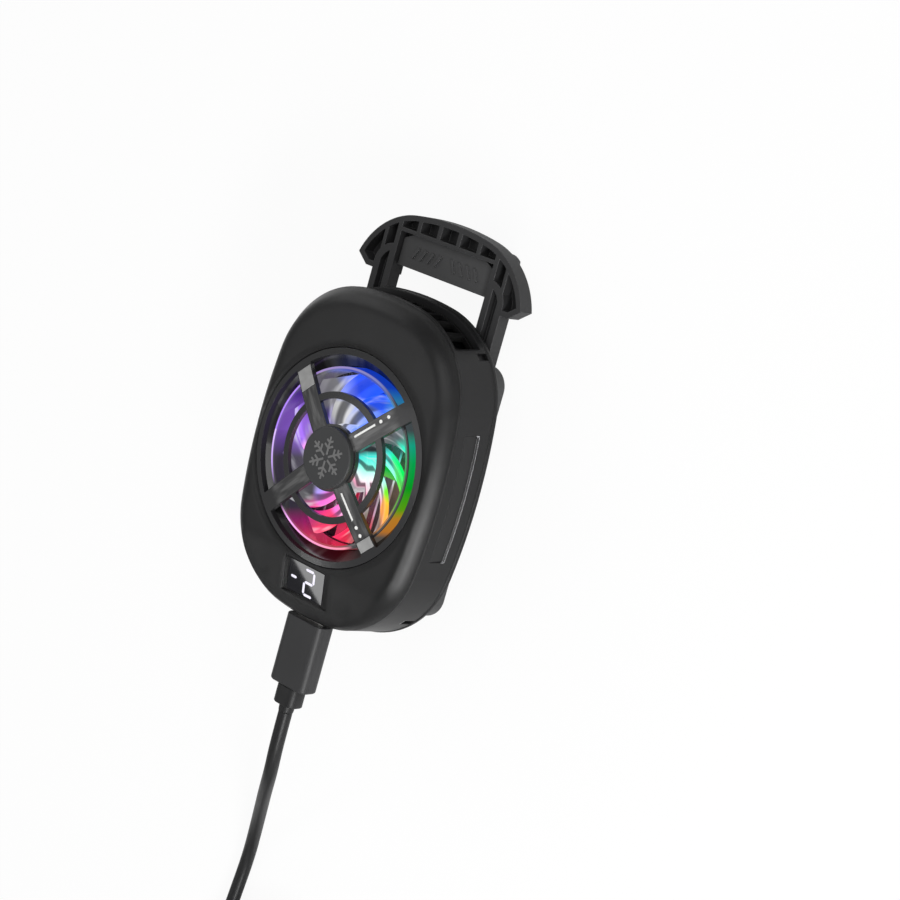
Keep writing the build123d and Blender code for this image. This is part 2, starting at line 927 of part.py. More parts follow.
def clamp_base():
    """Low base under the housing: the well of the cold side, leg channels and drum pockets."""
    length = base_high_y - base_low_y
    outline = Pos(0, (base_high_y + base_low_y) / 2) * RectangleRounded(
        2 * base_half_width, length, base_corner
    )
    base = slab(outline, base_bottom, rim_bottom)
    base = fillet(base.faces().sort_by(Axis.Z)[0].edges(), base_edge_round)
    base -= block(
        (-pad_half_width - well_gap, -pad_half_length - well_gap, base_bottom - cut_overrun),
        (pad_half_width + well_gap, pad_half_length + well_gap, rim_bottom + cut_overrun),
    )
    channel = block(
        (
            leg_inner_x - 2 * strip_thickness,
            drum_y - jaw_travel - slide_gap,
            leg_bottom - slide_gap,
        ),
        (leg_outer_x + slide_gap, base_high_y + cut_overrun, jaw_front + slide_gap),
    )
    pocket_floor = drum_bottom - slide_gap
    pocket = disc(
        drum_radius + 2 * slide_gap, pocket_floor, rim_bottom + cut_overrun, drum_x, drum_y
    )
    base -= both_sides(channel + pocket)
    base += both_sides(disc(drum_post_radius, pocket_floor, rim_bottom, drum_x, drum_y))
    for x, y in corners(base_screw_x, base_screw_y):
        base -= disc(base_screw_radius + running_gap, base_bottom, rim_bottom + cut_overrun, x, y)
        base -= disc(
            base_screw_head_radius + running_gap,
            base_bottom - cut_overrun,
            base_bottom + base_screw_head_height + running_gap,
            x,
            y,
        )
    return base


def base_screws():
    """Four screws that hold the base to the back plate."""
    screws = Part()
    head_top = base_bottom + base_screw_head_height
    for x, y in corners(base_screw_x, base_screw_y):
        screw = disc(base_screw_head_radius, base_bottom, head_top, x, y)
        tip = rim_top + base_boss_height - 3 * running_gap
        screws += screw + disc(base_screw_radius, head_top, tip, x, y)
    return screws


def bracket(points, half_width, round_index, round_radius):
    """Bent plate: a side outline in Y and Z, drawn out across the width, with one round."""
    side = make_face(Plane.YZ * Polyline(*points, close=True))
    solid = extrude(Pos(-half_width, 0, 0) * side, amount=2 * half_width, dir=(1, 0, 0))
    y, z = points[round_index]
    uprights = solid.edges().filter_by(Axis.Z).filter_by_position(Axis.Y, y - running_gap, y + running_gap)
    solid = chamfer(uprights, hook_corner)
    edge = solid.edges().filter_by(Axis.X).sort_by_distance(Vector(0, y, z))[0]
    return fillet(edge, round_radius)


def lower_hook():
    """Fixed hook for the lower edge of the phone."""
    outer_y = base_low_y - lower_hook_plate
    lip_top = -hook_depth + lip_thickness
    lip_end = low_edge_y + lower_lip_reach
    points = [
        (outer_y, rim_bottom),
        (outer_y, -hook_depth),
        (lip_end, -hook_depth),
        (lip_end, lip_top),
        (base_low_y, lip_top),
        (base_low_y, rim_bottom),
    ]
    return bracket(points, hook_half_width, 1, lip_thickness / 2)


def ribbed_pad(low_y, high_y, face_y, top):
    """Rubber pad of a hook, with grooves across the face that meets the phone."""
    half = hook_half_width - hook_pad_margin
    bottom = -hook_depth + lip_thickness
    pad = block((-half, low_y, bottom), (half, high_y, top))
    pitch = (top - bottom) / (pad_rib_count + 1)
    for index in range(pad_rib_count):
        z = bottom + pitch * (index + 1)
        pad -= Pos(0, face_y, z) * Box(
            2 * hook_half_width, pad_rib_depth, pad_rib_depth
        )
    return pad


def lower_hook_pad():
    """Rubber pad of the fixed hook."""
    return ribbed_pad(base_low_y, low_edge_y, low_edge_y, 0)


# Jaw

def arch_outline():
    """Outer outline of the arch with its two wings."""
    centre_y = arch_top_y - arch_top_radius
    shoulder_turn = acos(arch_shoulder_x / arch_top_radius)
    shoulder_y = centre_y + arch_top_radius * sin(shoulder_turn)
    reach = arch_top_radius - arch_shoulder_radius
    inner_x = reach * cos(shoulder_turn)
    inner_y = centre_y + reach * sin(shoulder_turn)
    side_rise = wing_side_y - inner_y
    side_x = inner_x + sqrt(arch_shoulder_radius ** 2 - side_rise ** 2)
    side_turn = atan2(side_rise, side_x - inner_x)
    middle = (shoulder_turn + side_turn) / 2
    shoulder = (arch_shoulder_x, shoulder_y)
    side = (side_x, wing_side_y)
    way = (
        inner_x + arch_shoulder_radius * cos(middle),
        inner_y + arch_shoulder_radius * sin(middle),
    )
    bottom = (wing_bottom_x, wing_bottom_y)

    def left(point):
        return (-point[0], point[1])

    return make_face(
        [
            ThreePointArc(left(shoulder), (0, arch_top_y), shoulder),
            ThreePointArc(shoulder, way, side),
            Line(side, bottom),
            Line(bottom, left(bottom)),
            Line(left(bottom), left(side)),
            ThreePointArc(left(side), left(way), left(shoulder)),
        ]
    )


def under_web(lift):
    """Area below the curved web that runs from a leg to the tip of its wing."""
    rib_x = main_rib_inner_x + main_rib_thickness
    start = (rib_x, web_top_y + lift)
    end = (wing_inner_x + lift, wing_bottom_y + arch_wall)
    way = ((start[0] + end[0] + lift) / 2 + web_thickness / 2, (start[1] + end[1]) / 2 + web_thickness)
    return make_face(
        [
            ThreePointArc(start, way, end),
            Line(end, (end[0], wing_bottom_y - arch_wall)),
            Line((end[0], wing_bottom_y - arch_wall), (0, wing_bottom_y - arch_wall)),
            Line((0, wing_bottom_y - arch_wall), (0, start[1])),
            Line((0, start[1]), start),
        ]
    )


def jaw_frame():
    """Ribbed arch on two grooved legs."""
    outline = arch_outline()
    window = rectangle(-main_rib_inner_x, main_rib_inner_x, 0, plate_low_y)
    arch = slab(outline - window, arch_back, jaw_front)
    leg_face = rectangle(leg_inner_x, leg_outer_x, leg_inner_end, wing_bottom_y + web_thickness)
    arch += both_sides(slab(leg_face, leg_bottom, jaw_front))

    inside = offset(outline, amount=-arch_wall)
    bar_low = bar_top_y - bar_thickness
    top_area = inside & rectangle(
        -main_rib_inner_x, main_rib_inner_x, bar_top_y, arch_top_y
    )
    for x in rib_places:
        rib = rectangle(x - rib_thickness / 2, x + rib_thickness / 2, bar_low, arch_top_y)
        top_area -= both_sides(rib)
    side_low = main_rib_inner_x + main_rib_thickness
    side_area = inside & rectangle(side_low, 2 * side_low, wing_bottom_y, arch_top_y)
    side_area -= under_web(web_thickness / 2)
    side_area -= rectangle(
        side_rib_x - side_rib_thickness / 2,
        side_rib_x + side_rib_thickness / 2,
        wing_bottom_y,
        arch_top_y,
    )
    floor_z = arch_back + arch_floor
    open_z = jaw_front + cut_overrun
    arch -= slab(top_area, floor_z, open_z)
    arch -= both_sides(slab(side_area, floor_z, open_z))
    bay = rectangle(-main_rib_inner_x, main_rib_inner_x, plate_low_y - cut_overrun, bar_low)
    arch -= slab(bay, floor_z, open_z)
    groove = rectangle(
        leg_centre - groove_width / 2, leg_centre + groove_width / 2, groove_end_y, web_top_y - arch_wall
    )
    groove -= mirror(under_web(0), about=Plane.XZ)
    arch -= both_sides(slab(groove & under_web(-web_thickness), jaw_front - groove_depth, open_z))
    arch -= both_sides(
        slab(
            rectangle(
                leg_centre - groove_width / 2,
                leg_centre + groove_width / 2,
                groove_end_y,
                wing_bottom_y,
            ),
            jaw_front - groove_depth,
            open_z,
        )
    )
    return arch


def grip_plate():
    """Finger plate between the legs, with slanted ridges."""
    floor_z = arch_back + arch_floor
    high_y = bar_top_y - bar_thickness - seat_gap
    inner = plate_half_width - plate_corner
    outline = Polyline(
        (-plate_half_width, plate_low_y),
        (plate_half_width, plate_low_y),
        (plate_half_width, high_y - plate_corner / 2),
        (inner, high_y),
        (-inner, high_y),
        (-plate_half_width, high_y - plate_corner / 2),
        close=True,
    )
    plate = slab(make_face(outline), floor_z, plate_front)
    middle_y = (plate_low_y + high_y) / 2
    ridge = Box(grip_ridge_width, grip_ridge_length, 2 * grip_ridge_height)
    for index in range(grip_ridge_count):
        step = index - (grip_ridge_count - 1) / 2
        if step == 0:
            continue
        slant = grip_ridge_slant_deg if step > 0 else -grip_ridge_slant_deg
        plate += Pos(step * grip_ridge_pitch, middle_y, plate_front) * Rot(0, 0, slant) * ridge
    return plate


def jaw_hook():
    """Tongue and lip that reach over the upper edge of the phone."""
    inner_y = high_edge_y + jaw_pad_thickness
    outer_y = inner_y + jaw_hook_plate
    lip_top = -hook_depth + lip_thickness
    lip_end = high_edge_y - jaw_lip_reach
    points = [
        (outer_y, arch_back),
        (outer_y, -hook_depth),
        (lip_end, -hook_depth),
        (lip_end, lip_top),
        (inner_y, lip_top),
        (inner_y, arch_back),
    ]
    return bracket(points, hook_half_width, 1, lip_thickness)


def jaw_hook_pad():
    """Rubber pad of the sliding hook."""
    return ribbed_pad(high_edge_y, high_edge_y + jaw_pad_thickness, high_edge_y, 0)


# Strip springs

def spring_drum():
    """Right drum with its roll of spring strip."""
    high = drum_bottom + drum_height
    drum = disc(drum_radius, drum_bottom, high, drum_x, drum_y)
    waist_low = drum_bottom + drum_flange
    waist = disc(drum_radius + cut_overrun, waist_low, high - drum_flange, drum_x, drum_y)
    waist -= disc(drum_radius - drum_waist, waist_low, high - drum_flange, drum_x, drum_y)
    drum -= waist
    return drum - disc(drum_post_radius + running_gap, 0, high + cut_overrun, drum_x, drum_y)


def spring_strip():
    """Straight end of the right strip, from its drum to the inner end of the leg."""
    return block(
        (leg_inner_x - strip_thickness, drum_y, drum_bottom),
        (leg_inner_x, leg_inner_end + strip_overlap, drum_bottom + drum_height),
    )


# Plug and cord

def plug_shell():
    """Metal end of the plug, hollow at its tip."""
    tip = plug_front_y + plug_shell_length
    shell = pill(plug_shell_width, plug_shell_height, plug_front_y, tip, plug_height_z)
    return shell - pill(
        plug_shell_width - 2 * plug_shell_wall,
        plug_shell_height - 2 * plug_shell_wall,
        plug_front_y + plug_shell_wall,
        tip + cut_overrun,
        plug_height_z,
    )


def plug_body():
    """Moulded grip of the plug."""
    section = Plane.XZ * RectangleRounded(plug_width, plug_height, plug_round)
    body = extrude(section, amount=plug_length, dir=(0, -1, 0))
    body = fillet(body.faces().sort_by(Axis.Y)[0].edges(), plug_edge_round)
    body = fillet(body.faces().sort_by(Axis.Y)[-1].edges(), plug_edge_round / 2)
    return Pos(0, plug_front_y, plug_height_z) * body


def strain_relief(length, radius, end_radius):
    """Tapered sleeve along -Y with grooves round it."""
    points = [(0, 0), (radius, 0)]
    step = length / (relief_groove_count + 1)
    slope = (radius - end_radius) / length
    for index in range(relief_groove_count):
        y = step * (index + 1)
        before = y - relief_groove_width / 2
        after = y + relief_groove_width / 2
        points += [
            (radius - slope * before, -before),
            (radius - slope * before - relief_groove_depth, -before),
            (radius - slope * after - relief_groove_depth, -after),
            (radius - slope * after, -after),
        ]
    points += [(end_radius, -length), (0, -length)]
    return revolve(make_face(Polyline(*points, close=True)), axis=Axis.Y)


def plug_strain_relief():
    """Tapered sleeve behind the plug."""
    sleeve = strain_relief(relief_length, relief_radius, relief_end_radius)
    return Pos(0, plug_front_y - plug_length, plug_height_z) * sleeve


def unit(vector):
    """The same direction at a length of one."""
    return vector / vector.length


def cord_tube(path, sides):
    """Tube of the cord's thickness along a path, with a many-sided section."""
    start = path @ 0
    section = Plane(origin=start, z_dir=path % 0) * RegularPolygon(cord_radius, sides)
    return sweep(section, path=path)


def cord_points():
    """The free cord's route in the frame of the whole part, from the sleeve to the coil."""
    exit_y = plug_front_y - plug_length - relief_length + shift_y
    exit_z = plug_height_z + hook_depth
    drop = exit_z - cord_radius
    points = [Vector(0, exit_y, exit_z)]
    for (x, y), share in zip(cord_steps, cord_drop_shares):
        points.append(Vector(x, exit_y + y, exit_z - drop * share))
    lift = tie_thickness + tie_gap
    for back in (cord_last_run, 0):
        points.append(Vector(cord_end_x, exit_y + cord_end_y + back, cord_radius + lift))
    return points


def cord_path():
    """The route with the largest arcs that its runs allow."""
    points = cord_points()
    radii = []
    for before, here, after in zip(points, points[1:], points[2:]):
        run_in = here - before
        run_out = after - here
        turn = radians(run_in.get_angle(run_out))
        shorter = min(run_in.length, run_out.length)
        radii.append(corner_run_share * shorter / tan(turn / 2))
    print("cord radii", [round(radius, 1) for radius in radii])
    return FilletPolyline(*points, radius=radii)


def power_cord():
    """Free stretch of the cord."""
    path = cord_path()
    tube = cord_tube(path, cord_sides)
    section = cord_sides / 2 * cord_radius ** 2 * sin(2 * pi / cord_sides)
    share = tube.volume / (section * path.length)
    print("cord length", round(path.length, 1), "share of section times length", round(share, 3))
    return tube


def coil_outer_radius():
    """Radius of the outermost turn."""
    return coil_mid_radius + coil_pitch * coil_turns_per_layer / 2


def coil_place(turns):
    """Point on the winding after a number of turns, about the winding's centre."""
    from_turning = abs(turns - coil_turns_per_layer)
    radius = coil_outer_radius() - coil_pitch * (coil_turns_per_layer - from_turning)
    climb = min(max((turns - coil_turns_per_layer) * 2 + 1 / 2, 0), 1)
    eased = (1 - cos(pi * climb)) / 2
    angle = pi + 2 * pi * turns
    x = radius * cos(angle)
    y = radius * sin(angle)
    return Vector(x, y, coil_layer_rise * eased)


def coil_knots():
    """Points and directions along the winding, four to a turn, then the tail to the far plug."""
    steps = round(2 * coil_turns_per_layer * coil_knots_per_turn)
    small = 1 / coil_knots_per_turn ** 4
    knots = []
    for index in range(steps + 1):
        turns = index / coil_knots_per_turn
        way = unit(coil_place(turns + small) - coil_place(turns - small))
        knots.append((coil_place(turns), way))
    return knots


def coil_path():
    """Straight end, a pair of arcs for each step of the winding, then the tail and its end."""
    points = cord_points()
    start = points[-1] + Vector(0, -2 * cord_radius, 0)
    centre = start + Vector(coil_outer_radius(), 0, 0)
    down = Vector(0, -1, 0)
    knots = [(centre + point, way) for point, way in coil_knots()]
    knots[0] = (start, down)
    last = knots[-1][0]
    knots[-1] = (last, down)
    tail = Vector(last.X, last.Y - coil_tail_length, usb_body_height / 2)
    knots.append((tail, down))
    edges = [Line(points[-1], start)]
    for (p0, t0), (p1, t1) in zip(knots, knots[1:]):
        across = p1 - p0
        both = t0 + t1
        spread = 2 * (1 - t0.dot(t1))
        ahead = across.dot(both)
        if spread < straight_limit:
            reach = across.dot(across) / (2 * ahead)
        else:
            reach = (-ahead + sqrt(ahead ** 2 + spread * across.dot(across))) / spread
        joint = (p0 + t0 * reach + p1 - t1 * reach) / 2
        chord = unit(joint - p0)
        middle_way = chord * (2 * chord.dot(t0)) - t0
        edges.append(TangentArc(p0, joint, tangent=t0))
        edges.append(TangentArc(joint, p1, tangent=middle_way))
    edges.append(Line(tail, tail + down * (2 * cord_radius)))
    return Wire(edges), centre


def cord_coil():
    """Rolled-up rest of the cord: one tube that winds in, climbs a layer and winds out."""
    path = coil_path()[0]
    print("coil length", round(path.length, 1))
    print("coil least gap to itself", round(coil_gap(path), 2))
    return cord_tube(path, coil_sides)


def coil_gap(path):
    """Least gap between two stretches of the coil, measured on points half a radius apart."""
    count = round(2 * path.length / cord_radius)
    points = [tuple(path @ (index / count)) for index in range(count + 1)]
    apart = round(coil_mid_radius / path.length * count)
    least = min(
        dist(point, other)
        for index, point in enumerate(points)
        for other in points[index + apart :]
    )
    return least - 2 * cord_radius


def cord_tie():
    """Strap round all turns of the coil, at the side away from the cord's start."""
    path, centre = coil_path()
    samples = round(path.length)
    crossing = []
    for index in range(samples + 1):
        point = path @ (index / samples)
        if point.X > centre.X and abs(point.Y - centre.Y) < tie_width / 2 + cord_radius:
            crossing.append(point)
    reach = cord_radius + tie_gap
    low = (min(p.X for p in crossing) - reach, centre.Y - tie_width / 2, tie_thickness)
    high = (
        max(p.X for p in crossing) + reach,
        centre.Y + tie_width / 2,
        max(p.Z for p in crossing) + reach,
    )
    hole = block((low[0], low[1] - cut_overrun, low[2]), (high[0], high[1] + cut_overrun, high[2]))
    strap = block(
        (low[0] - tie_thickness, low[1], 0),
        (high[0] + tie_thickness, high[1], high[2] + tie_thickness),
    )
    return strap - hole


def far_end():
    """Place where the far plug's sleeve starts. The plug is drawn along +X and turned to -Y."""
    return Pos(*(coil_path()[0] @ 1)) * Rot(0, 0, -90)


def usb_a_strain_relief():
    """Tapered sleeve in front of the far plug."""
    sleeve = strain_relief(usb_relief_length, usb_relief_radius, relief_end_radius)
    return far_end() * Pos(usb_relief_length, 0, 0) * Rot(0, 0, -90) * sleeve


def usb_a_body():
    """Moulded grip of the far plug."""
    section = Plane.YZ * RectangleRounded(usb_body_width, usb_body_height, usb_body_round)
    body = extrude(section, amount=usb_body_length, dir=(1, 0, 0))
    return far_end() * Pos(usb_relief_length, 0, 0) * body


def usb_a_shell():
    """Open metal shell of the far plug."""
    outer = Pos(usb_shell_length / 2, 0, 0) * Box(usb_shell_length, usb_shell_width, usb_shell_height)
    hole = Pos(usb_shell_length / 2 + usb_shell_wall, 0, 0) * Box(
        usb_shell_length, usb_shell_width - 2 * usb_shell_wall, usb_shell_height - 2 * usb_shell_wall
    )
    return far_end() * Pos(usb_relief_length + usb_body_length, 0, 0) * (outer - hole)


def usb_a_insulator():
    """Contact block that fills the upper part of the shell."""
    length = usb_shell_length - usb_shell_wall - usb_insulator_setback
    block_z = usb_shell_height / 2 - usb_shell_wall - usb_insulator_height / 2
    part = Box(length, usb_shell_width - 2 * usb_shell_wall, usb_insulator_height)
    at = Pos(usb_relief_length + usb_body_length + usb_shell_wall + length / 2, 0, block_z)
    return far_end() * at * part


# Export

placed_pieces = {
    "front_cover": front_cover,
    "middle_frame": middle_frame,
    "side_panel_right": side_panel,
    "exhaust_grille": exhaust_grille,
    "rear_cover": rear_cover,
    "housing_screws": housing_screws,
    "fan_frame": fan_frame,
    "shaft_bearing": shaft_bearing,
    "motor_board": motor_board,
    "motor_stator": motor_stator,
    "impeller": impeller,
    "fan_shaft": fan_shaft,
    "rotor_magnet": rotor_magnet,
    "led_board": led_board,
    "light_ring": light_ring,
    "fan_guard": fan_guard,
    "hub_cap": hub_cap,
    "display_window": display_window,
    "display_module": display_module,
    "control_board": control_board,
    "usb_socket": usb_socket,
    "silicone_pad": silicone_pad,
    "cold_plate": cold_plate,
    "peltier_module": peltier_module,
    "insulation_gasket": insulation_gasket,
    "heat_sink": heat_sink,
    "clamp_base": clamp_base,
    "base_screws": base_screws,
    "lower_hook": lower_hook,
    "lower_hook_pad": lower_hook_pad,
    "jaw_frame": jaw_frame,
    "grip_plate": grip_plate,
    "jaw_hook": jaw_hook,
    "jaw_hook_pad": jaw_hook_pad,
    "spring_drum_right": spring_drum,
    "spring_strip_right": spring_strip,
    "plug_shell": plug_shell,
    "plug_body": plug_body,
    "plug_strain_relief": plug_strain_relief,
}
mirrored_pieces = {
    "side_panel_right": "side_panel_left",
    "spring_drum_right": "spring_drum_left",
    "spring_strip_right": "spring_strip_left",
}
cord_pieces = {
    "power_cord": power_cord,
    "cord_coil": cord_coil,
    "cord_tie": cord_tie,
    "usb_a_strain_relief": usb_a_strain_relief,
    "usb_a_body": usb_a_body,
    "usb_a_shell": usb_a_shell,
    "usb_a_insulator": usb_a_insulator,
}

os.makedirs("parts", exist_ok=True)
for name, make in placed_pieces.items():
    piece = place(make())
    export_step(piece, f"parts/{name}.step")
    if name in mirrored_pieces:
        export_step(mirror(piece, about=Plane.YZ), f"parts/{mirrored_pieces[name]}.step")
for name, make in cord_pieces.items():
    export_step(make(), f"parts/{name}.step")
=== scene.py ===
"""Clip-on cooling fan, dressed around its CAD frame.

Every length is in metres. Places come from the frame's own boxes, so that each dressed
piece keeps to the CAD node it belongs to.
"""

import logging
import math
from collections.abc import Callable
from dataclasses import dataclass
from enum import Enum

import bmesh
import bpy
from mathutils import Matrix, Vector

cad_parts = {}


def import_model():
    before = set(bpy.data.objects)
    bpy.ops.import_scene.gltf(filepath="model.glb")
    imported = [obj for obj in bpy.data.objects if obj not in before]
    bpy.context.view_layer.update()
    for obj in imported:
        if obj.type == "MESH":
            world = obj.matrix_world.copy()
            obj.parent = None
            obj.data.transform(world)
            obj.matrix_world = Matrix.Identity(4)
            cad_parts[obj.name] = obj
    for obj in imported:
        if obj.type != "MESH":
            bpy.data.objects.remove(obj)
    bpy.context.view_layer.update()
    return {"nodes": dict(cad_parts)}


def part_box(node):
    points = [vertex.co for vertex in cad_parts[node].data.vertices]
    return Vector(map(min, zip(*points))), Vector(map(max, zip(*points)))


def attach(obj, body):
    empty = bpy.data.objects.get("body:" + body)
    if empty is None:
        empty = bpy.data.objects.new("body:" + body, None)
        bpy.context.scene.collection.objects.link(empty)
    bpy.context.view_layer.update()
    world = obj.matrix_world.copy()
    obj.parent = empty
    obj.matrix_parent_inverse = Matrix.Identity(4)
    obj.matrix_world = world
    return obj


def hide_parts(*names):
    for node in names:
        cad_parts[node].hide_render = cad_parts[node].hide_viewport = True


MM = 0.001
log = logging.getLogger("cooling_fan")

Colour = tuple[float, float, float]
Stops = tuple[tuple[float, Colour], ...]
Place = tuple[float, float, float]
Span = tuple[float, float]
Piece = bpy.types.Object
Material = bpy.types.Material

WHITE: Colour = (1.0, 1.0, 1.0)
BLACK: Colour = (0.0, 0.0, 0.0)
FULL_TURN = 2 * math.pi
EDGE_STEP = (0.02, 0.25)
CLOUD_GLOSS = 0.12
GRAIN_GLOSS = 0.08


# Shader maths


class Sheet:
    """The nodes of one material or world, with Python expressions for its maths."""

    def __init__(self, name: str, kind: str = "Material") -> None:
        """Starts with an output and nothing else.

        Args:
            name: Name of the material or world.
            kind: Material or World.
        """
        owners = bpy.data.worlds if kind == "World" else bpy.data.materials
        self.owner = owners.new(name)
        self.owner.use_nodes = True
        self.tree = self.owner.node_tree
        self.tree.nodes.clear()
        self.output = self.tree.nodes.new("ShaderNodeOutput" + kind)

    def node(self, kind: str, settings: dict | None = None, **inputs: object) -> bpy.types.Node:
        """Adds a node, sets it up and fills its sockets.

        Args:
            kind: The node's type without the word ShaderNode.
            settings: Properties that are set before the sockets.
            inputs: Values or links by socket name, with _ for a blank, or by number after _.

        Returns:
            The new node.
        """
        made = self.tree.nodes.new("ShaderNode" + kind)
        for name, value in (settings or {}).items():
            setattr(made, name, value)
        for name, value in inputs.items():
            key = int(name[1:]) if name[1:].isdigit() else name.replace("_", " ")
            self.fill(made.inputs[key], value)
        return made

    def fill(self, socket: bpy.types.NodeSocket, value: object) -> None:
        """Links a socket or sets its value.

        Args:
            socket: The socket to fill.
            value: A Wire, an output socket, a number or a colour.
        """
        if isinstance(value, Wire):
            self.tree.links.new(value.socket, socket)
        elif isinstance(value, bpy.types.NodeSocket):
            self.tree.links.new(value, socket)
        elif isinstance(value, tuple) and len(value) == 3 and socket.type == "RGBA":
            socket.default_value = (*value, 1.0)
        else:
            socket.default_value = value

    def wire(self, node: bpy.types.Node, output: str | int = 0) -> "Wire":
        """Wraps one output of a node."""
        return Wire(self, node.outputs[output])

    def maths(self, operation: str, *values: object) -> "Wire":
        """Adds a Math node.

        Args:
            operation: Blender's name of the operation.
            values: Its operands, wires or numbers.

        Returns:
            The result.
        """
        made = self.node("Math", {"operation": operation})
        for socket, value in zip(made.inputs, values):
            self.fill(socket, value)
        return self.wire(made)

    def place(self) -> "Wire":
        """Object coordinates."""
        return self.wire(self.node("TexCoord"), "Object")

    def parts_of(self, vector: "Wire") -> tuple["Wire", "Wire", "Wire"]:
        """X, Y and Z of a vector."""
        split = self.node("SeparateXYZ", Vector=vector)
        return self.wire(split, 0), self.wire(split, 1), self.wire(split, 2)

    def noise(self, size: float, detail: float = 2.0, vector: "Wire | None" = None) -> "Wire":
        """Noise from 0 to 1.

        Args:
            size: About how large its spots are.
            detail: How many finer layers it has.
            vector: Coordinates, where they aren't the object's own.

        Returns:
            The noise.
        """
        made = self.node(
            "TexNoise", Vector=vector or self.place(), Scale=1.0 / size, Detail=detail
        )
        return self.wire(made, 0)

    def mix(self, share: object, first: object, second: object) -> "Wire":
        """Colour between two colours.

        Args:
            share: Share of the second colour.
            first: Colour where the share is 0.
            second: Colour where the share is 1.

        Returns:
            The mixed colour.
        """
        made = self.node("Mix", {"data_type": "RGBA"})
        self.fill(made.inputs[0], share)
        self.fill(made.inputs[6], first)
        self.fill(made.inputs[7], second)
        return self.wire(made, 2)

    def ramp(self, share: "Wire", stops: Stops) -> "Wire":
        """Colour that runs through stops.

        Args:
            share: Place on the ramp, from 0 to 1.
            stops: Places and colours, in order.

        Returns:
            The colour.
        """
        made = self.node("ValToRGB")
        elements = made.color_ramp.elements
        while len(elements) < len(stops):
            elements.new(0.5)
        for element, (position, colour) in zip(elements, stops):
            element.position = position
            element.color = (*colour, 1.0)
        self.fill(made.inputs[0], share)
        return self.wire(made)

    def rounded(self, radius: float) -> "Wire":
        """Normal of the surface with its edges rounded off to a radius."""
        return self.wire(self.node("Bevel", {"samples": 4}, Radius=radius))

    def edges(self, rounded: "Wire") -> "Wire":
        """How near a point is to a sharp edge, from 0 to about 0.3.

        Args:
            rounded: The rounded normal.

        Returns:
            The mask of the edges.
        """
        dot = self.node("VectorMath", {"operation": "DOT_PRODUCT"})
        self.fill(dot.inputs[0], rounded)
        self.fill(dot.inputs[1], self.wire(self.node("NewGeometry"), "Normal"))
        return 1 - self.wire(dot, "Value")

    def bump(self, height: "Wire", depth: float, normal: "Wire | None" = None) -> "Wire":
        """Normal of a raised surface.

        Args:
            height: Height of the relief, from 0 to 1.
            depth: How far the surface is raised where the height is 1.
            normal: Normal that the relief lies on, where it isn't the surface's own.

        Returns:
            The normal.
        """
        made = self.node("Bump", Strength=1.0, Distance=depth, Height=height)
        if normal:
            self.fill(made.inputs["Normal"], normal)
        return self.wire(made)

    def finish(self, shader: bpy.types.Node) -> Material | bpy.types.World:
        """Links the shader to the output and hands the material or world over."""
        self.tree.links.new(shader.outputs[0], self.output.inputs[0])
        return self.owner

    def principled(self, specular: float = 0.5, coat: float = 0.0, **inputs: object) -> Material:
        """Closes the material with a Principled shader.

        Args:
            specular: Level of its reflection.
            coat: Weight of its clear coat.
            inputs: Values or links by socket name, with _ for a blank.

        Returns:
            The material.
        """
        shader = self.node("BsdfPrincipled", **inputs)
        shader.inputs["Specular IOR Level"].default_value = specular
        shader.inputs["Coat Weight"].default_value = coat
        return self.finish(shader)


class Wire:
    """A shader socket that Python's operators work on."""

    def __init__(self, sheet: Sheet, socket: bpy.types.NodeSocket) -> None:
        """Keeps the socket and the sheet it is on."""
        self.sheet = sheet
        self.socket = socket

    def __add__(self, other: object) -> "Wire":
        """Sum."""
        return self.sheet.maths("ADD", self, other)

    def __sub__(self, other: object) -> "Wire":
        """Difference."""
        return self.sheet.maths("SUBTRACT", self, other)

    def __rsub__(self, other: object) -> "Wire":
        """Difference, the other way round."""
        return self.sheet.maths("SUBTRACT", other, self)

    def __mul__(self, other: object) -> "Wire":
        """Product."""
        return self.sheet.maths("MULTIPLY", self, other)

    def __truediv__(self, other: object) -> "Wire":
        """Quotient."""
        return self.sheet.maths("DIVIDE", self, other)

    __radd__ = __add__
    __rmul__ = __mul__

    def step(self, low: float, high: float) -> "Wire":
        """Smooth step from 0 to 1.

        Args:
            low: Value where the step is 0.
            high: Value where the step is 1.

        Returns:
            The step.
        """
        made = self.sheet.node("MapRange", {"interpolation_type": "SMOOTHSTEP"})
        for socket, value in zip(made.inputs, (self, low, high, 0.0, 1.0)):
            self.sheet.fill(socket, value)
        return self.sheet.wire(made)


# Finishes


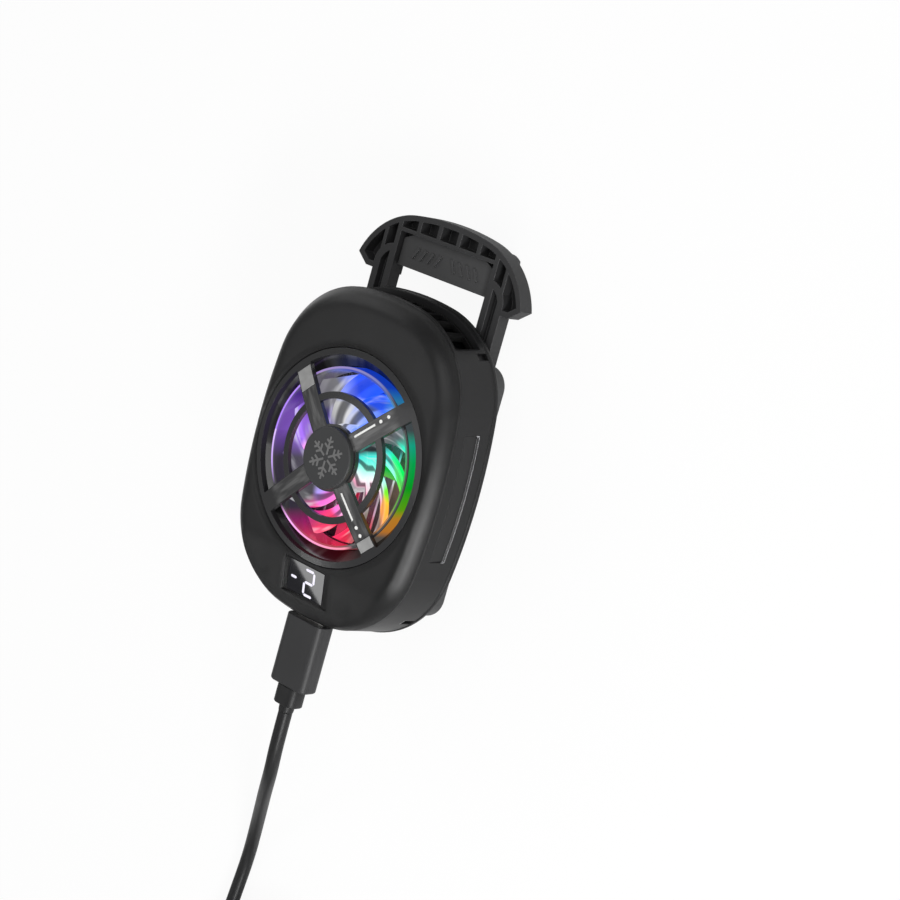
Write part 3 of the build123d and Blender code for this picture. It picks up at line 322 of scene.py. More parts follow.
@dataclass(frozen=True)
class Finish:
    """A moulded, cast or plated finish with a fine grain, cloudy gloss and edges lightened as wear.
    """

    name: str
    colour: Colour
    roughness: float
    metallic: float = 0.0
    mottle: float = 0.15
    mottle_size: float = 9 * MM
    grain_size: float = 0.35 * MM
    grain_depth: float = 0.006 * MM
    edge: float = 0.14 * MM
    wear_and_glint: float = 1.2
    specular: float = 0.5
    crease: float = 0.0
    """Radius that the shading alone gives to blunt edges, where it isn't 0."""

    def material(self) -> Material:
        """The finish as a material, made once."""
        return bpy.data.materials.get(self.name) or self.build()

    def wear_and_glint_share(self, sheet: Sheet, edge: Wire) -> Wire:
        """Where the edge colour shows: along every edge, as wear."""
        return edge

    def build(self) -> Material:
        """Makes the material's nodes.

        Returns:
            The material.
        """
        sheet = Sheet(self.name)
        cloud = sheet.noise(self.mottle_size, 3.0)
        grain = sheet.noise(self.grain_size)
        rounded = sheet.rounded(self.edge)
        edge = self.wear_and_glint_share(sheet, sheet.edges(rounded).step(*EDGE_STEP))
        if self.crease:
            rounded = sheet.rounded(self.crease)
        darker = tuple(channel * (1 - self.mottle) for channel in self.colour)
        lighter = tuple(min(channel * (1 + self.mottle), 1.0) for channel in self.colour)
        # Colour at the edges: wear on most finishes, and a painted highlight on the lipped frame's
        # lip.
        wear_and_glint_colour = tuple(min(channel * (1 + self.wear_and_glint), 1.0) for channel in self.colour)
        return sheet.principled(
            self.specular,
            Base_Color=sheet.mix(edge, sheet.mix(cloud, darker, lighter), wear_and_glint_colour),
            Roughness=self.roughness + (cloud - 0.5) * CLOUD_GLOSS + (grain - 0.5) * GRAIN_GLOSS,
            Metallic=self.metallic,
            Normal=sheet.bump(grain, self.grain_depth, rounded),
        )


@dataclass(frozen=True)
class LippedFrame(Finish):
    """The frame's finish, with a painted highlight along the lip under each side panel."""

    lip: Span = (21.3 * MM, 22.3 * MM)
    lip_end: float = 7.0 * MM
    fade: float = 0.15 * MM

    def wear_and_glint_share(self, sheet: Sheet, edge: Wire) -> Wire:
        """Where the edge colour shows: as a painted highlight on the edges at the lip's heights, up
        to the lip's end along Y.

        Args:
            sheet: The material's nodes.
            edge: Mask of the edges.

        Returns:
            The mask of the painted highlight on the lip.
        """
        # Painted highlight: edges only, at the lip's heights.
        _, along, height = sheet.parts_of(sheet.place())
        low, high = self.lip
        beside = along.step(self.lip_end + self.fade, self.lip_end)
        level = height.step(low - self.fade, low) * height.step(high + self.fade, high)
        return edge * beside * level


SHELL = Finish(
    "satin_black_shell", (0.005, 0.005, 0.0053), 0.32, specular=0.36, crease=3.0 * MM
)
FRAME = Finish("matte_black_frame", (0.011, 0.011, 0.0115), 0.4, wear_and_glint=2.0, specular=0.25)
# The bright lip is a painted highlight: its edge colour is 71 times the base colour.
MIDDLE = LippedFrame(
    "lipped_black_frame", (0.011, 0.011, 0.0115), 0.4, edge=0.45 * MM, wear_and_glint=70.0, specular=0.25
)
# Black grille plastic, made darker and duller than the frame as painted shade in the exhaust
# recess.
VENT = Finish("black_vent_with_painted_shade", (0.004, 0.004, 0.004), 0.6, specular=0.15)
JAW = Finish(
    "fine_grained_jaw", (0.05, 0.05, 0.051), 0.5, grain_depth=0.012 * MM, wear_and_glint=1.6, specular=0.28
)
# The arch is darker than the other jaw parts and lighter along its edges, partly as wear and partly
# as a painted highlight on the ribs.
RIBS = Finish(
    "ribbed_jaw_arch",
    (0.028, 0.028, 0.029),
    0.5,
    grain_depth=0.012 * MM,
    edge=0.35 * MM,
    wear_and_glint=1.8,
    specular=0.28,
)
CAP = Finish("dark_grey_cap", (0.036, 0.037, 0.038), 0.46, grain_depth=0.01 * MM, specular=0.35)
PRINT = Finish("white_print", (0.85, 0.85, 0.83), 0.45, mottle=0.05)
END_PAD = Finish("pale_grey_end", (0.3, 0.3, 0.297), 0.35, mottle=0.3, mottle_size=2 * MM)
RUBBER = Finish("black_rubber", (0.016, 0.016, 0.016), 0.68, grain_depth=0.02 * MM)
SILICONE = Finish(
    "grey_silicone", (0.36, 0.37, 0.39), 0.5, grain_size=0.6 * MM, grain_depth=0.02 * MM
)
FOAM = Finish("grey_foam", (0.1, 0.1, 0.1), 0.85, grain_depth=0.05 * MM)
ALUMINIUM = Finish("milled_aluminium", (0.78, 0.79, 0.8), 0.32, metallic=1.0, mottle=0.06)
CERAMIC = Finish("white_ceramic", (0.76, 0.76, 0.73), 0.4, mottle=0.05)
STEEL = Finish("bright_steel", (0.6, 0.6, 0.61), 0.25, metallic=1.0, mottle=0.06)
MAGNET = Finish("dark_ferrite", (0.06, 0.055, 0.055), 0.5)
BRONZE = Finish("sintered_bronze", (0.55, 0.36, 0.19), 0.4, metallic=1.0)
BOARD = Finish("black_board", (0.012, 0.02, 0.016), 0.4)
DRUM = Finish("natural_white_plastic", (0.6, 0.6, 0.57), 0.45, wear_and_glint=0.2)
PLUG = Finish("grey_plug", (0.03, 0.03, 0.031), 0.42, specular=0.28)
PLUG_METAL = Finish("nickel_plating", (0.7, 0.69, 0.67), 0.22, metallic=1.0, mottle=0.06)
CONTACT = Finish("white_contact_block", (0.7, 0.7, 0.68), 0.45, mottle=0.05, wear_and_glint=0.2)
CABLE = Finish(
    "soft_cable_sleeve", (0.013, 0.013, 0.0135), 0.42, grain_depth=0.01 * MM, specular=0.28
)


@dataclass(frozen=True)
class Woven:
    """Woven tape: ribs across the weave over a hairy ground."""

    name: str = "woven_tie"
    colour: Colour = (0.02, 0.02, 0.021)
    rib: float = 0.55 * MM
    depth: float = 0.07 * MM
    warp_share: float = 0.6
    fuzz_size: float = 0.2 * MM
    pale: float = 2.4

    def material(self) -> Material:
        """Makes the weave.

        Returns:
            The material.
        """
        sheet = Sheet(self.name)
        x, y, z = sheet.parts_of(sheet.place())
        turns = FULL_TURN / self.rib
        warp = sheet.maths("SINE", y * turns) * 0.5 + 0.5
        weft = sheet.maths("SINE", (x + z) * turns) * 0.5 + 0.5
        weave = warp * self.warp_share + weft * (1 - self.warp_share)
        fuzz = sheet.noise(self.fuzz_size)
        pale = tuple(channel * self.pale for channel in self.colour)
        return sheet.principled(
            Base_Color=sheet.mix(weave * fuzz, self.colour, pale),
            Roughness=0.9 - fuzz * 0.15,
            Normal=sheet.bump(weave + fuzz * 0.4, self.depth),
        )


BLADE_OUTER_STOPS: Stops = (
    (0.0, (0.3, 0.12, 0.75)),
    (0.05, (0.07, 0.06, 0.09)),
    (0.15, (0.05, 0.05, 0.055)),
    (0.18, (0.5, 0.02, 0.22)),
    (0.222, (0.95, 0.05, 0.16)),
    (0.3, (0.85, 0.01, 0.05)),
    (0.335, (0.16, 0.14, 0.14)),
    (0.39, (0.2, 0.17, 0.14)),
    (0.408, (1.0, 0.36, 0.05)),
    (0.44, (1.0, 0.42, 0.04)),
    (0.46, (0.2, 0.72, 0.01)),
    (0.5, (0.0, 0.72, 0.02)),
    (0.545, (0.0, 0.78, 0.16)),
    (0.575, (0.01, 0.75, 0.48)),
    (0.6, (0.1, 0.14, 0.15)),
    (0.635, (0.16, 0.15, 0.17)),
    (0.655, (0.04, 0.4, 0.8)),
    (0.69, (0.01, 0.09, 0.95)),
    (0.775, (0.01, 0.07, 0.95)),
    (0.81, (0.2, 0.26, 0.9)),
    (0.84, (0.2, 0.2, 0.21)),
    (0.89, (0.14, 0.13, 0.16)),
    (0.92, (0.1, 0.03, 0.4)),
    (0.96, (0.35, 0.15, 0.85)),
)

BLADE_INNER_STOPS: Stops = (
    (0.0, (0.75, 0.42, 0.95)),
    (0.03, (0.9, 0.25, 0.75)),
    (0.06, (0.12, 0.1, 0.2)),
    (0.12, (0.2, 0.2, 0.2)),
    (0.16, (0.4, 0.3, 0.85)),
    (0.2, (0.85, 0.14, 0.6)),
    (0.26, (0.95, 0.2, 0.6)),
    (0.31, (0.9, 0.5, 0.75)),
    (0.35, (0.4, 0.4, 0.4)),
    (0.39, (0.3, 0.28, 0.3)),
    (0.41, (0.8, 0.3, 0.45)),
    (0.45, (0.75, 0.85, 0.85)),
    (0.5, (0.25, 0.85, 0.68)),
    (0.56, (0.03, 0.7, 0.6)),
    (0.59, (0.05, 0.08, 0.08)),
    (0.635, (0.16, 0.15, 0.16)),
    (0.655, (0.04, 0.1, 0.8)),
    (0.72, (0.16, 0.28, 0.95)),
    (0.775, (0.4, 0.45, 0.7)),
    (0.82, (0.5, 0.5, 0.5)),
    (0.86, (0.36, 0.36, 0.36)),
    (0.9, (0.06, 0.02, 0.3)),
    (0.93, (0.32, 0.12, 0.9)),
    (0.97, (0.75, 0.4, 0.95)),
)

RING_STOPS: Stops = (
    (0.0, (0.72, 0.5, 1.0)),
    (0.06, (0.55, 0.35, 0.9)),
    (0.1, (0.02, 0.02, 0.02)),
    (0.14, (0.02, 0.02, 0.02)),
    (0.17, (0.95, 0.4, 0.95)),
    (0.25, (1.0, 0.3, 0.55)),
    (0.32, (0.9, 0.25, 0.35)),
    (0.34, (0.01, 0.01, 0.01)),
    (0.65, (0.01, 0.01, 0.01)),
    (0.7, (0.12, 0.14, 0.4)),
    (0.85, (0.3, 0.2, 0.5)),
    (0.93, (0.4, 0.2, 0.9)),
)


@dataclass(frozen=True)
class RingLight:
    """Coloured light of the lamps round the fan, as turns and radii about the fan's axis."""

    centre: Vector

    def polar(self, sheet: Sheet) -> tuple[Wire, Wire, Wire]:
        """Turn from 0 to 1, radius and height of a point.

        Args:
            sheet: The material's nodes.

        Returns:
            Turn, radius and height.
        """
        x, y, z = sheet.parts_of(sheet.place())
        across = x - self.centre.x
        along = y - self.centre.y
        radius = sheet.maths("SQRT", across * across + along * along)
        turn = sheet.maths("ARCTAN2", along, across) / FULL_TURN + 0.5
        return turn, radius, z

    def swirled(self, sheet: Sheet, swirl: Wire, spots: float, outwards: object) -> Wire:
        """Noise that is drawn out along a spiral.

        Args:
            sheet: The material's nodes.
            swirl: Angle from the spiral.
            spots: How closely the spots follow each other round the axis.
            outwards: Third coordinate of the noise.

        Returns:
            The noise.
        """
        place = sheet.node(
            "CombineXYZ",
            X=sheet.maths("COSINE", swirl) * spots,
            Y=sheet.maths("SINE", swirl) * spots,
            Z=outwards,
        )
        return sheet.noise(1.0, vector=sheet.wire(place))


@dataclass(frozen=True)
class LitBlades(RingLight):
    """Clear blades that carry the coloured light in swirling bands."""

    blade_count: int = 11
    sweep: float = math.radians(46.0) / (11.1 * MM)
    ring_split: Span = (12.6 * MM, 14.2 * MM)
    hub_fade: Span = (4.4 * MM, 5.8 * MM)
    phase: float = 1.2
    streaks: float = 7.0
    streaks_outwards: float = 160.0
    streak_step: Span = (0.52, 0.72)
    pale: Colour = (0.62, 0.62, 0.66)
    gap_step: Span = (0.4, 0.05)
    gap_shares: Span = (0.8, 0.35)
    gap_colour: Colour = (0.004, 0.004, 0.008)
    hub_colour: Colour = (0.03, 0.03, 0.4)
    strength: float = 1.25

    def material(self) -> Material:
        """Makes the lit blades.

        Returns:
            The material.
        """
        sheet = Sheet("lit_blades")
        turn, radius, _ = self.polar(sheet)
        swirl = turn * FULL_TURN + radius * self.sweep
        band = sheet.maths("SINE", swirl * self.blade_count + self.phase) * 0.5 + 0.5
        outside = radius.step(*self.ring_split)
        inner = sheet.ramp(turn, BLADE_INNER_STOPS)
        hue = sheet.mix(outside, inner, sheet.ramp(turn, BLADE_OUTER_STOPS))
        streak = self.swirled(sheet, swirl, self.streaks, radius * self.streaks_outwards)
        pale = sheet.mix(streak.step(*self.streak_step) * 0.5, hue, self.pale)
        near, far = self.gap_shares
        gap = band.step(*self.gap_step) * (near - outside * (near - far))
        dark = sheet.mix(gap, pale, self.gap_colour)
        return sheet.principled(
            Base_Color=(0.02, 0.02, 0.022),
            Roughness=0.24 + streak * 0.1,
            Emission_Color=sheet.mix(radius.step(*self.hub_fade), self.hub_colour, dark),
            Emission_Strength=self.strength,
        )


@dataclass(frozen=True)
class LitRing(RingLight):
    """Clear ring whose upper rim glows, over a wall with a dimmer painted glow in the blades' outer
    colours.
    """

    rim: Span = (31.9 * MM, 32.1 * MM)
    line: Span = (20.05 * MM, 20.2 * MM)
    wall_share: float = 0.4
    gloss_size: float = 3.0 * MM
    strength: float = 1.1

    def material(self) -> Material:
        """Makes the lit ring.

        Returns:
            The material.
        """
        sheet = Sheet("lit_ring")
        turn, radius, height = self.polar(sheet)
        gloss = sheet.noise(self.gloss_size)
        hue = sheet.ramp(turn, RING_STOPS)
        lit = height.step(*self.rim) * radius.step(*self.line)
        # Painted glow on the wall under the rim, at 0.4 of the blades' outer colours.
        wall = sheet.mix(self.wall_share, BLACK, sheet.ramp(turn, BLADE_OUTER_STOPS))
        return sheet.principled(
            Base_Color=(0.012, 0.012, 0.014),
            Roughness=0.12 + gloss * 0.1,
            Emission_Color=sheet.mix(lit, wall, hue),
            Emission_Strength=self.strength,
        )


@dataclass(frozen=True)
class ReflectionBandedFunnel(RingLight):
    """Glossy black funnel round the fan, with grey bands of painted reflection that run inwards,
    over a lit floor.
    """

    well: Span = (20.3 * MM, 19.9 * MM)
    floor_light: float = 0.6
    sweep: float = 22.0
    bands: float = 3.2
    reflection_band_step: Span = (0.48, 0.66)
    black: Colour = (0.006, 0.006, 0.006)
    grey: Colour = (0.075, 0.078, 0.078)
    coat: float = 0.4

    def material(self) -> Material:
        """Makes the funnel's gloss.

        Returns:
            The material.
        """
        sheet = Sheet("reflection_banded_funnel")
        turn, radius, _ = self.polar(sheet)
        # Painted reflection: grey bands swirled about the fan's axis, in the base colour.
        bands = self.swirled(sheet, turn * FULL_TURN + radius * self.sweep, self.bands, 0.0)
        hue = sheet.ramp(turn, BLADE_OUTER_STOPS)
        return sheet.principled(
            coat=self.coat,
            Base_Color=sheet.mix(bands.step(*self.reflection_band_step), self.black, self.grey),
            Roughness=0.16 + bands * 0.1,
            Emission_Color=sheet.mix(radius.step(*self.well), BLACK, hue),
            Emission_Strength=self.floor_light,
        )


@dataclass(frozen=True)
class SmokedGuard(RingLight):
    """Smoked glossy guard: black rings, and greyer arms with faint streaks of painted highlight
    along them.
    """

    half_arm: Span = (2.2 * MM, 2.05 * MM)
    rim: Span = (21.0 * MM, 18.5 * MM)
    streak_size: float = 1.4 * MM
    stretch: float = 0.16
    streak_step: Span = (0.38, 0.62)
    black: Colour = (0.02, 0.02, 0.021)
    arm_colours: tuple[Colour, Colour] = ((0.035, 0.035, 0.036), (0.1, 0.1, 0.1))
    coat: float = 0.1
    edge: float = 0.14 * MM
    grain_size: float = 0.35 * MM
    grain_depth: float = 0.006 * MM

    def material(self) -> Material:
        """Makes the smoked plastic.

        Returns:
            The material.
        """
        sheet = Sheet("smoked_guard")
        _, radius, _ = self.polar(sheet)
        x, y, _ = sheet.parts_of(sheet.place())
        across = x - self.centre.x
        along = y - self.centre.y
        one = sheet.maths("ABSOLUTE", (across + along) * math.sqrt(0.5))
        other = sheet.maths("ABSOLUTE", (along - across) * math.sqrt(0.5))
        near = sheet.maths("MINIMUM", one, other)
        arm = near.step(*self.half_arm) * radius.step(*self.rim)
        # Painted highlight: lighter streaks drawn out along the arms.
        stretched = sheet.node(
            "CombineXYZ",
            X=near / self.streak_size,
            Y=radius / self.streak_size * self.stretch,
            Z=0.0,
        )
        streak = sheet.noise(1.0, vector=sheet.wire(stretched))
        grain = sheet.noise(self.grain_size)
        grey = sheet.mix(streak.step(*self.streak_step), *self.arm_colours)
        return sheet.principled(
            coat=self.coat,
            Base_Color=sheet.mix(arm, self.black, grey),
            Roughness=0.24 + (grain - 0.5) * GRAIN_GLOSS,
            Normal=sheet.bump(grain, self.grain_depth, sheet.rounded(self.edge)),
        )


def dress(obj: Piece, material: Material) -> None:
    """Gives a piece its only material."""
    obj.data.materials.clear()
    obj.data.materials.append(material)


# Modelling helpers


class Axis(Enum):
    """Direction of an edge or a face."""

    X = Vector((1.0, 0.0, 0.0))
    Y = Vector((0.0, 1.0, 0.0))
    Z = Vector((0.0, 0.0, 1.0))


def only(obj: Piece) -> None:
    """Selects one object and makes it active.

    Args:
        obj: The object.
    """
    bpy.ops.object.select_all(action="DESELECT")
    obj.select_set(True)
    bpy.context.view_layer.objects.active = obj


def settle(obj: Piece) -> None:
    """Puts an object's place, turn and scale into its mesh."""
    only(obj)
    bpy.ops.object.transform_apply(location=True, rotation=True, scale=True)


def block(name: str, low: Vector, high: Vector) -> Piece:
    """Adds a box between two corners, as a start for a piece.

    Args:
        name: Name of the piece.
        low: Lowest corner.
        high: Highest corner.

    Returns:
        The new box.
    """
    bpy.ops.mesh.primitive_cube_add(size=1.0, location=(low + high) / 2, scale=high - low)
    made = bpy.context.object
    made.name = name
    settle(made)
    return made


def pick(obj: Piece, kind: str, wanted: Callable[[object], bool]) -> None:
    """Selects edges or faces of a piece that is in edit mode.

    Args:
        obj: The piece.
        kind: EDGE or FACE.
        wanted: Test of one edge or face.
    """
    bpy.ops.mesh.select_mode(type=kind)
    bpy.ops.mesh.select_all(action="DESELECT")
    mesh = bmesh.from_edit_mesh(obj.data)
    for element in mesh.edges if kind == "EDGE" else mesh.faces:
        element.select_set(wanted(element))
    bmesh.update_edit_mesh(obj.data)


def round_along(obj: Piece, axis: Axis, width: float, segments: int = 5) -> None:
    """Rounds the edges of a piece that run along an axis.

    Args:
        obj: The piece.
        axis: Direction of the edges.
        width: Width of the rounding.
        segments: Faces across it.
    """
    def runs_along(edge: bmesh.types.BMEdge) -> bool:
        """Whether an edge runs along the axis."""
        run = (edge.verts[1].co - edge.verts[0].co).normalized()
        return abs(run.dot(axis.value)) > 0.99

    only(obj)
    bpy.ops.object.mode_set(mode="EDIT")
    pick(obj, "EDGE", runs_along)
    bpy.ops.mesh.bevel(offset=width, segments=segments)
    bpy.ops.mesh.select_mode(type="FACE")
    bpy.ops.object.mode_set(mode="OBJECT")


def modify(obj: Piece, kind: str, **settings: object) -> None:
    """Applies a modifier to a piece.

    Args:
        obj: The piece.
        kind: Blender's name of the modifier.
        settings: Its settings.
    """
    only(obj)
    modifier = obj.modifiers.new(kind.lower(), kind)
    for name, value in settings.items():
        setattr(modifier, name, value)
    bpy.ops.object.modifier_apply(modifier=modifier.name)


def soften(obj: Piece, width: float, segments: int) -> None:
    """Rounds the sharp edges of a piece.

    Args:
        obj: The piece.
        width: Width of the rounding.
        segments: Faces across it.
    """
    sharp = math.radians(40.0)
    modify(obj, "BEVEL", width=width, segments=segments, limit_method="ANGLE", angle_limit=sharp)
    bpy.ops.object.shade_smooth_by_angle(angle=math.radians(35))


def merge(name: str, pieces: list[Piece]) -> Piece:
    """Joins several new pieces into one.

    Args:
        name: Name of the joined piece.
        pieces: The pieces, of which the first takes up the others.

    Returns:
        The joined piece.
    """
    bpy.ops.object.select_all(action="DESELECT")
    for piece in pieces:
        piece.select_set(True)
    bpy.context.view_layer.objects.active = pieces[0]
    bpy.ops.object.join()
    pieces[0].name = name
    return pieces[0]


@dataclass(frozen=True)
class Pen:
    """Width, height and ends of a flat bar."""

    width: float
    height: float
    pointed: float
    facets: int

    def stroke(self, start: Vector, end: Vector, ground: Matrix) -> Piece:
        """Makes a bar between two places on a ground plane.

        Args:
            start: Its start on the plane.
            end: Its end.
            ground: Place and turn of the plane.

        Returns:
            The bar.
        """
        run = end - start
        half = self.width / 2
        made = block("bar", Vector((0.0, -half, 0.0)), Vector((run.length, half, self.height)))
        round_along(made, Axis.Z, self.width * self.pointed, self.facets)
        turn = Matrix.Rotation(math.atan2(run.y, run.x), 4, "Z")
        made.matrix_world = ground @ Matrix.Translation(start.to_3d()) @ turn
        settle(made)
        return made


def lay(obj: Piece, target: Piece, lift: float) -> None:
    """Drapes a thin flat piece straight down onto a CAD node.

    Args:
        obj: The piece, above its place.
        target: The CAD node that carries it.
        lift: Gap that is left under it.
    """
    modify(
        obj,
        "SHRINKWRAP",
        target=target,
        wrap_method="PROJECT",
        use_project_z=True,
        use_negative_direction=True,
        use_positive_direction=False,
        offset=lift,
    )
    modify(obj, "SOLIDIFY", thickness=2 * lift, offset=1.0)


def install(obj: Piece, body: str, material: Material, slot: str, *nodes: str) -> None:
    """Dresses a finished piece and fixes it to the frame.

    Args:
        obj: The finished piece.
        body: The CAD body that carries it.
        material: Its finish.
        slot: Not used.
        nodes: CAD nodes that it stands for.
    """
    dress(obj, material)
    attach(obj, body)
    if nodes:
        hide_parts(*nodes)
    log.info("%s: %d faces on %s", obj.name, len(getattr(obj.data, "polygons", ())), body)


# Stage


@dataclass
class Stage:
    """Camera, lights and floor."""

    camera_place: Place = (0.30466, 0.090945, 0.3921)
    camera_right: Place = (0.7332, 0.2678, -0.6250)
    camera_up: Place = (-0.3272, 0.9447, 0.0209)
    camera_back: Place = (0.5961, 0.1892, 0.7803)
    lens_mm: float = 85.743
    floor_size: float = 6.0
    room_light: float = 0.3
    seen_share: float = 0.92
    mirrored_share: float = 0.3
    aim: Place = (0.0, -0.01, 0.02)

    def camera(self) -> None:
        """Sets the camera at the photograph's viewing angle."""
        data = bpy.data.cameras.new("photo_camera")
        data.lens = self.lens_mm
        data.sensor_width = 36.0
        data.clip_start = 0.01
        data.clip_end = 20.0
        camera = bpy.data.objects.new("photo_camera", data)
        turn = Matrix((self.camera_right, self.camera_up, self.camera_back)).transposed()
        camera.matrix_world = Matrix.Translation(self.camera_place) @ turn.to_4x4()
        bpy.context.scene.collection.objects.link(camera)
        bpy.context.scene.camera = camera
        bpy.context.scene.view_settings.view_transform = "Standard"

    def lamp(self, name: str, place: Place, size: Span, power: float) -> None:
        """Adds a rectangular soft lamp that faces the fan.

        Args:
            name: Name of the lamp.
            place: Its place.
            size: Its width and height.
            power: Its power in watts.
        """
        data = bpy.data.lights.new(name, "AREA")
        data.shape = "RECTANGLE"
        data.size, data.size_y = size
        data.energy = power
        lamp = bpy.data.objects.new(name, data)
        lamp.location = place
        lamp.rotation_euler = (Vector(self.aim) - Vector(place)).to_track_quat("-Z", "Y").to_euler()
        bpy.context.scene.collection.objects.link(lamp)

    def lights(self) -> None:
        """Adds the soft lamps and an even light all round, which the camera sees as white."""
        self.lamp("low_strip", (0.5, -0.29, 0.33), (0.42, 0.09), 3.2)
        self.lamp("high_right", (0.45, 0.35, 0.65), (0.7, 0.7), 2.6)
        self.lamp("overhead", (-0.36, -0.1, 0.7), (0.25, 0.4), 0.4)
        self.lamp("far_left", (-0.6, 0.45, 0.4), (0.5, 0.4), 1.2)
        self.lamp("front", (0.1, -0.7, 0.4), (0.5, 0.3), 0.3)
        self.lamp("display_glint", (-0.4225, -0.4006, 0.4571), (0.1, 0.06), 0.09)
        room = Sheet("room", "World")
        light = room.node("Background", Color=WHITE, Strength=self.room_light)
        seen = room.node("Background", Color=WHITE, Strength=1.0)
        share = room.wire(room.node("LightPath"), "Is Camera Ray")
        mixed = room.node("MixShader", _0=share, _1=light.outputs[0], _2=seen.outputs[0])
        bpy.context.scene.world = room.finish(mixed)

    def floor(self) -> None:
        """Lays the pale floor, which shows white to the camera apart from the shadow."""
        bpy.ops.mesh.primitive_plane_add(size=self.floor_size, location=(0.0, 0.0, 0.0))
        floor = bpy.context.object
        floor.name = "floor"
        sheet = Sheet("pale_floor")
        path = sheet.node("LightPath")
        cloud = sheet.noise(0.3)
        matt = sheet.node(
            "BsdfPrincipled",
            Base_Color=sheet.mix(cloud, (0.86, 0.86, 0.86), (0.9, 0.9, 0.9)),
            Roughness=0.9,
        )
        glow = sheet.node("Emission", Color=WHITE, Strength=1.0)
        seen = sheet.maths(
            "MINIMUM",
            sheet.wire(path, "Is Camera Ray")
            + sheet.wire(path, "Is Glossy Ray") * self.mirrored_share
            + sheet.wire(path, "Is Transmission Ray"),
            1.0,
        )
        mixed = sheet.node(
            "MixShader", _0=seen * self.seen_share, _1=matt.outputs[0], _2=glow.outputs[0]
        )
        dress(floor, sheet.finish(mixed))


# Cord


@dataclass
class Cord:
    """The supply cord: down to the floor, round the coil and out to the far plug."""

    diameter: float = 3.4 * MM
    layer_turns: float = 3.5
    pitch: float = 3.95 * MM
    coil_outer: float = 26.9125 * MM
    layer_rise: float = 3.95 * MM
    points_per_turn: int = 24
    tail: float = 34.0 * MM
    tail_height: float = 3.8 * MM
    end_run: float = 3.4 * MM
    length: float = 1.015
    route: tuple[Place, ...] = (
        (0.0, -0.070675, 0.0265),
        (0.0, -0.078775, 0.0265),
        (-0.0016, -0.086875, 0.02402),
        (-0.0064, -0.094675, 0.018316),
        (-0.0118, -0.102675, 0.01162),
        (-0.0166, -0.111275, 0.005668),
        (-0.0198, -0.120675, 0.0017),
        (-0.0208, -0.131675, 0.0017),
        (-0.0212, -0.144675, 0.0026),
        (-0.0212, -0.153675, 0.0026),
    )

    def winding(self) -> list[Vector]:
        """Winds the coil.

        Returns:
            Points from where the cord runs into the coil to where it runs out.
        """
        start = Vector(self.route[-1]) + Vector((0.0, -self.diameter, 0.0))
        centre = start + Vector((self.coil_outer, 0.0, 0.0))
        steps = round(2 * self.layer_turns * self.points_per_turn)
        points = []
        for index in range(steps + 1):
            turns = index / self.points_per_turn
            inward = self.layer_turns - abs(turns - self.layer_turns)
            radius = self.coil_outer - self.pitch * inward
            climb = min(max((turns - self.layer_turns) * 2 + 0.5, 0.0), 1.0)
            angle = math.pi + FULL_TURN * turns
            rise = self.layer_rise * (1 - math.cos(math.pi * climb)) / 2
            spoke = Vector((radius * math.cos(angle), radius * math.sin(angle), rise))
            points.append(centre + spoke)
        return points

    def build(self) -> Piece:
        """Makes the cord as one smooth curve.

        Returns:
            The cord.
        """
        points = [Vector(point) for point in self.route] + self.winding()
        last = points[-1]
        points.append(Vector((last.x, last.y - self.tail / 2, (last.z + self.tail_height) / 2)))
        points.append(Vector((last.x, last.y - self.tail, self.tail_height)))
        points.append(points[-1] - Vector((0.0, self.end_run, 0.0)))
        curve = bpy.data.curves.new("supply_cord", "CURVE")
        curve.dimensions = "3D"
        spline = curve.splines.new("NURBS")
        spline.points.add(len(points) - 1)
        for target, point in zip(spline.points, points):
            target.co = (*point, 1.0)
        spline.order_u = 3
        spline.use_endpoint_u = True
        spline.resolution_u = 4
        curve.bevel_depth = self.diameter / 2
        curve.bevel_resolution = 4
        curve.use_fill_caps = True
        cord = bpy.data.objects.new("supply_cord", curve)
        bpy.context.scene.collection.objects.link(cord)
        install(cord, "housing", CABLE.material(), "cord_plastic", "power_cord", "cord_coil")
        return cord


@dataclass
class PlugRelief:
    """Plain moulded collar behind the plug, with a short sleeve that tapers onto the cord."""

    node: str = "plug_strain_relief"
    collar_length: float = 4.6 * MM
    collar_width: float = 6.6 * MM
    collar_height: float = 5.4 * MM
    corner: float = 2.1 * MM
    sleeve_radius: float = 1.95 * MM
    sleeve_end_radius: float = 1.78 * MM
    sleeve_overlap: float = 0.6 * MM
    edge: float = 0.3 * MM

    def build(self) -> None:
        """Makes the collar and its sleeve, and fixes them to the housing."""
        low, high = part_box(self.node)
        middle = (low + high) / 2
        half = Vector((self.collar_width / 2, 0.0, self.collar_height / 2))
        collar = block(
            "collar",
            Vector((middle.x, high.y - self.collar_length, middle.z)) - half,
            Vector((middle.x, high.y, middle.z)) + half,
        )
        round_along(collar, Axis.Y, self.corner, 6)
        start = high.y - self.collar_length + self.sleeve_overlap
        bpy.ops.mesh.primitive_cone_add(
            vertices=32,
            radius1=self.sleeve_radius,
            radius2=self.sleeve_end_radius,
            depth=start - low.y,
            location=(middle.x, (start + low.y) / 2, middle.z),
            rotation=(math.pi / 2, 0.0, 0.0),
        )
        sleeve = bpy.context.object
        settle(sleeve)
        relief = merge("plug_relief", [collar, sleeve])
        soften(relief, self.edge, 3)
        install(relief, "housing", CABLE.material(), "plug_plastic", self.node)


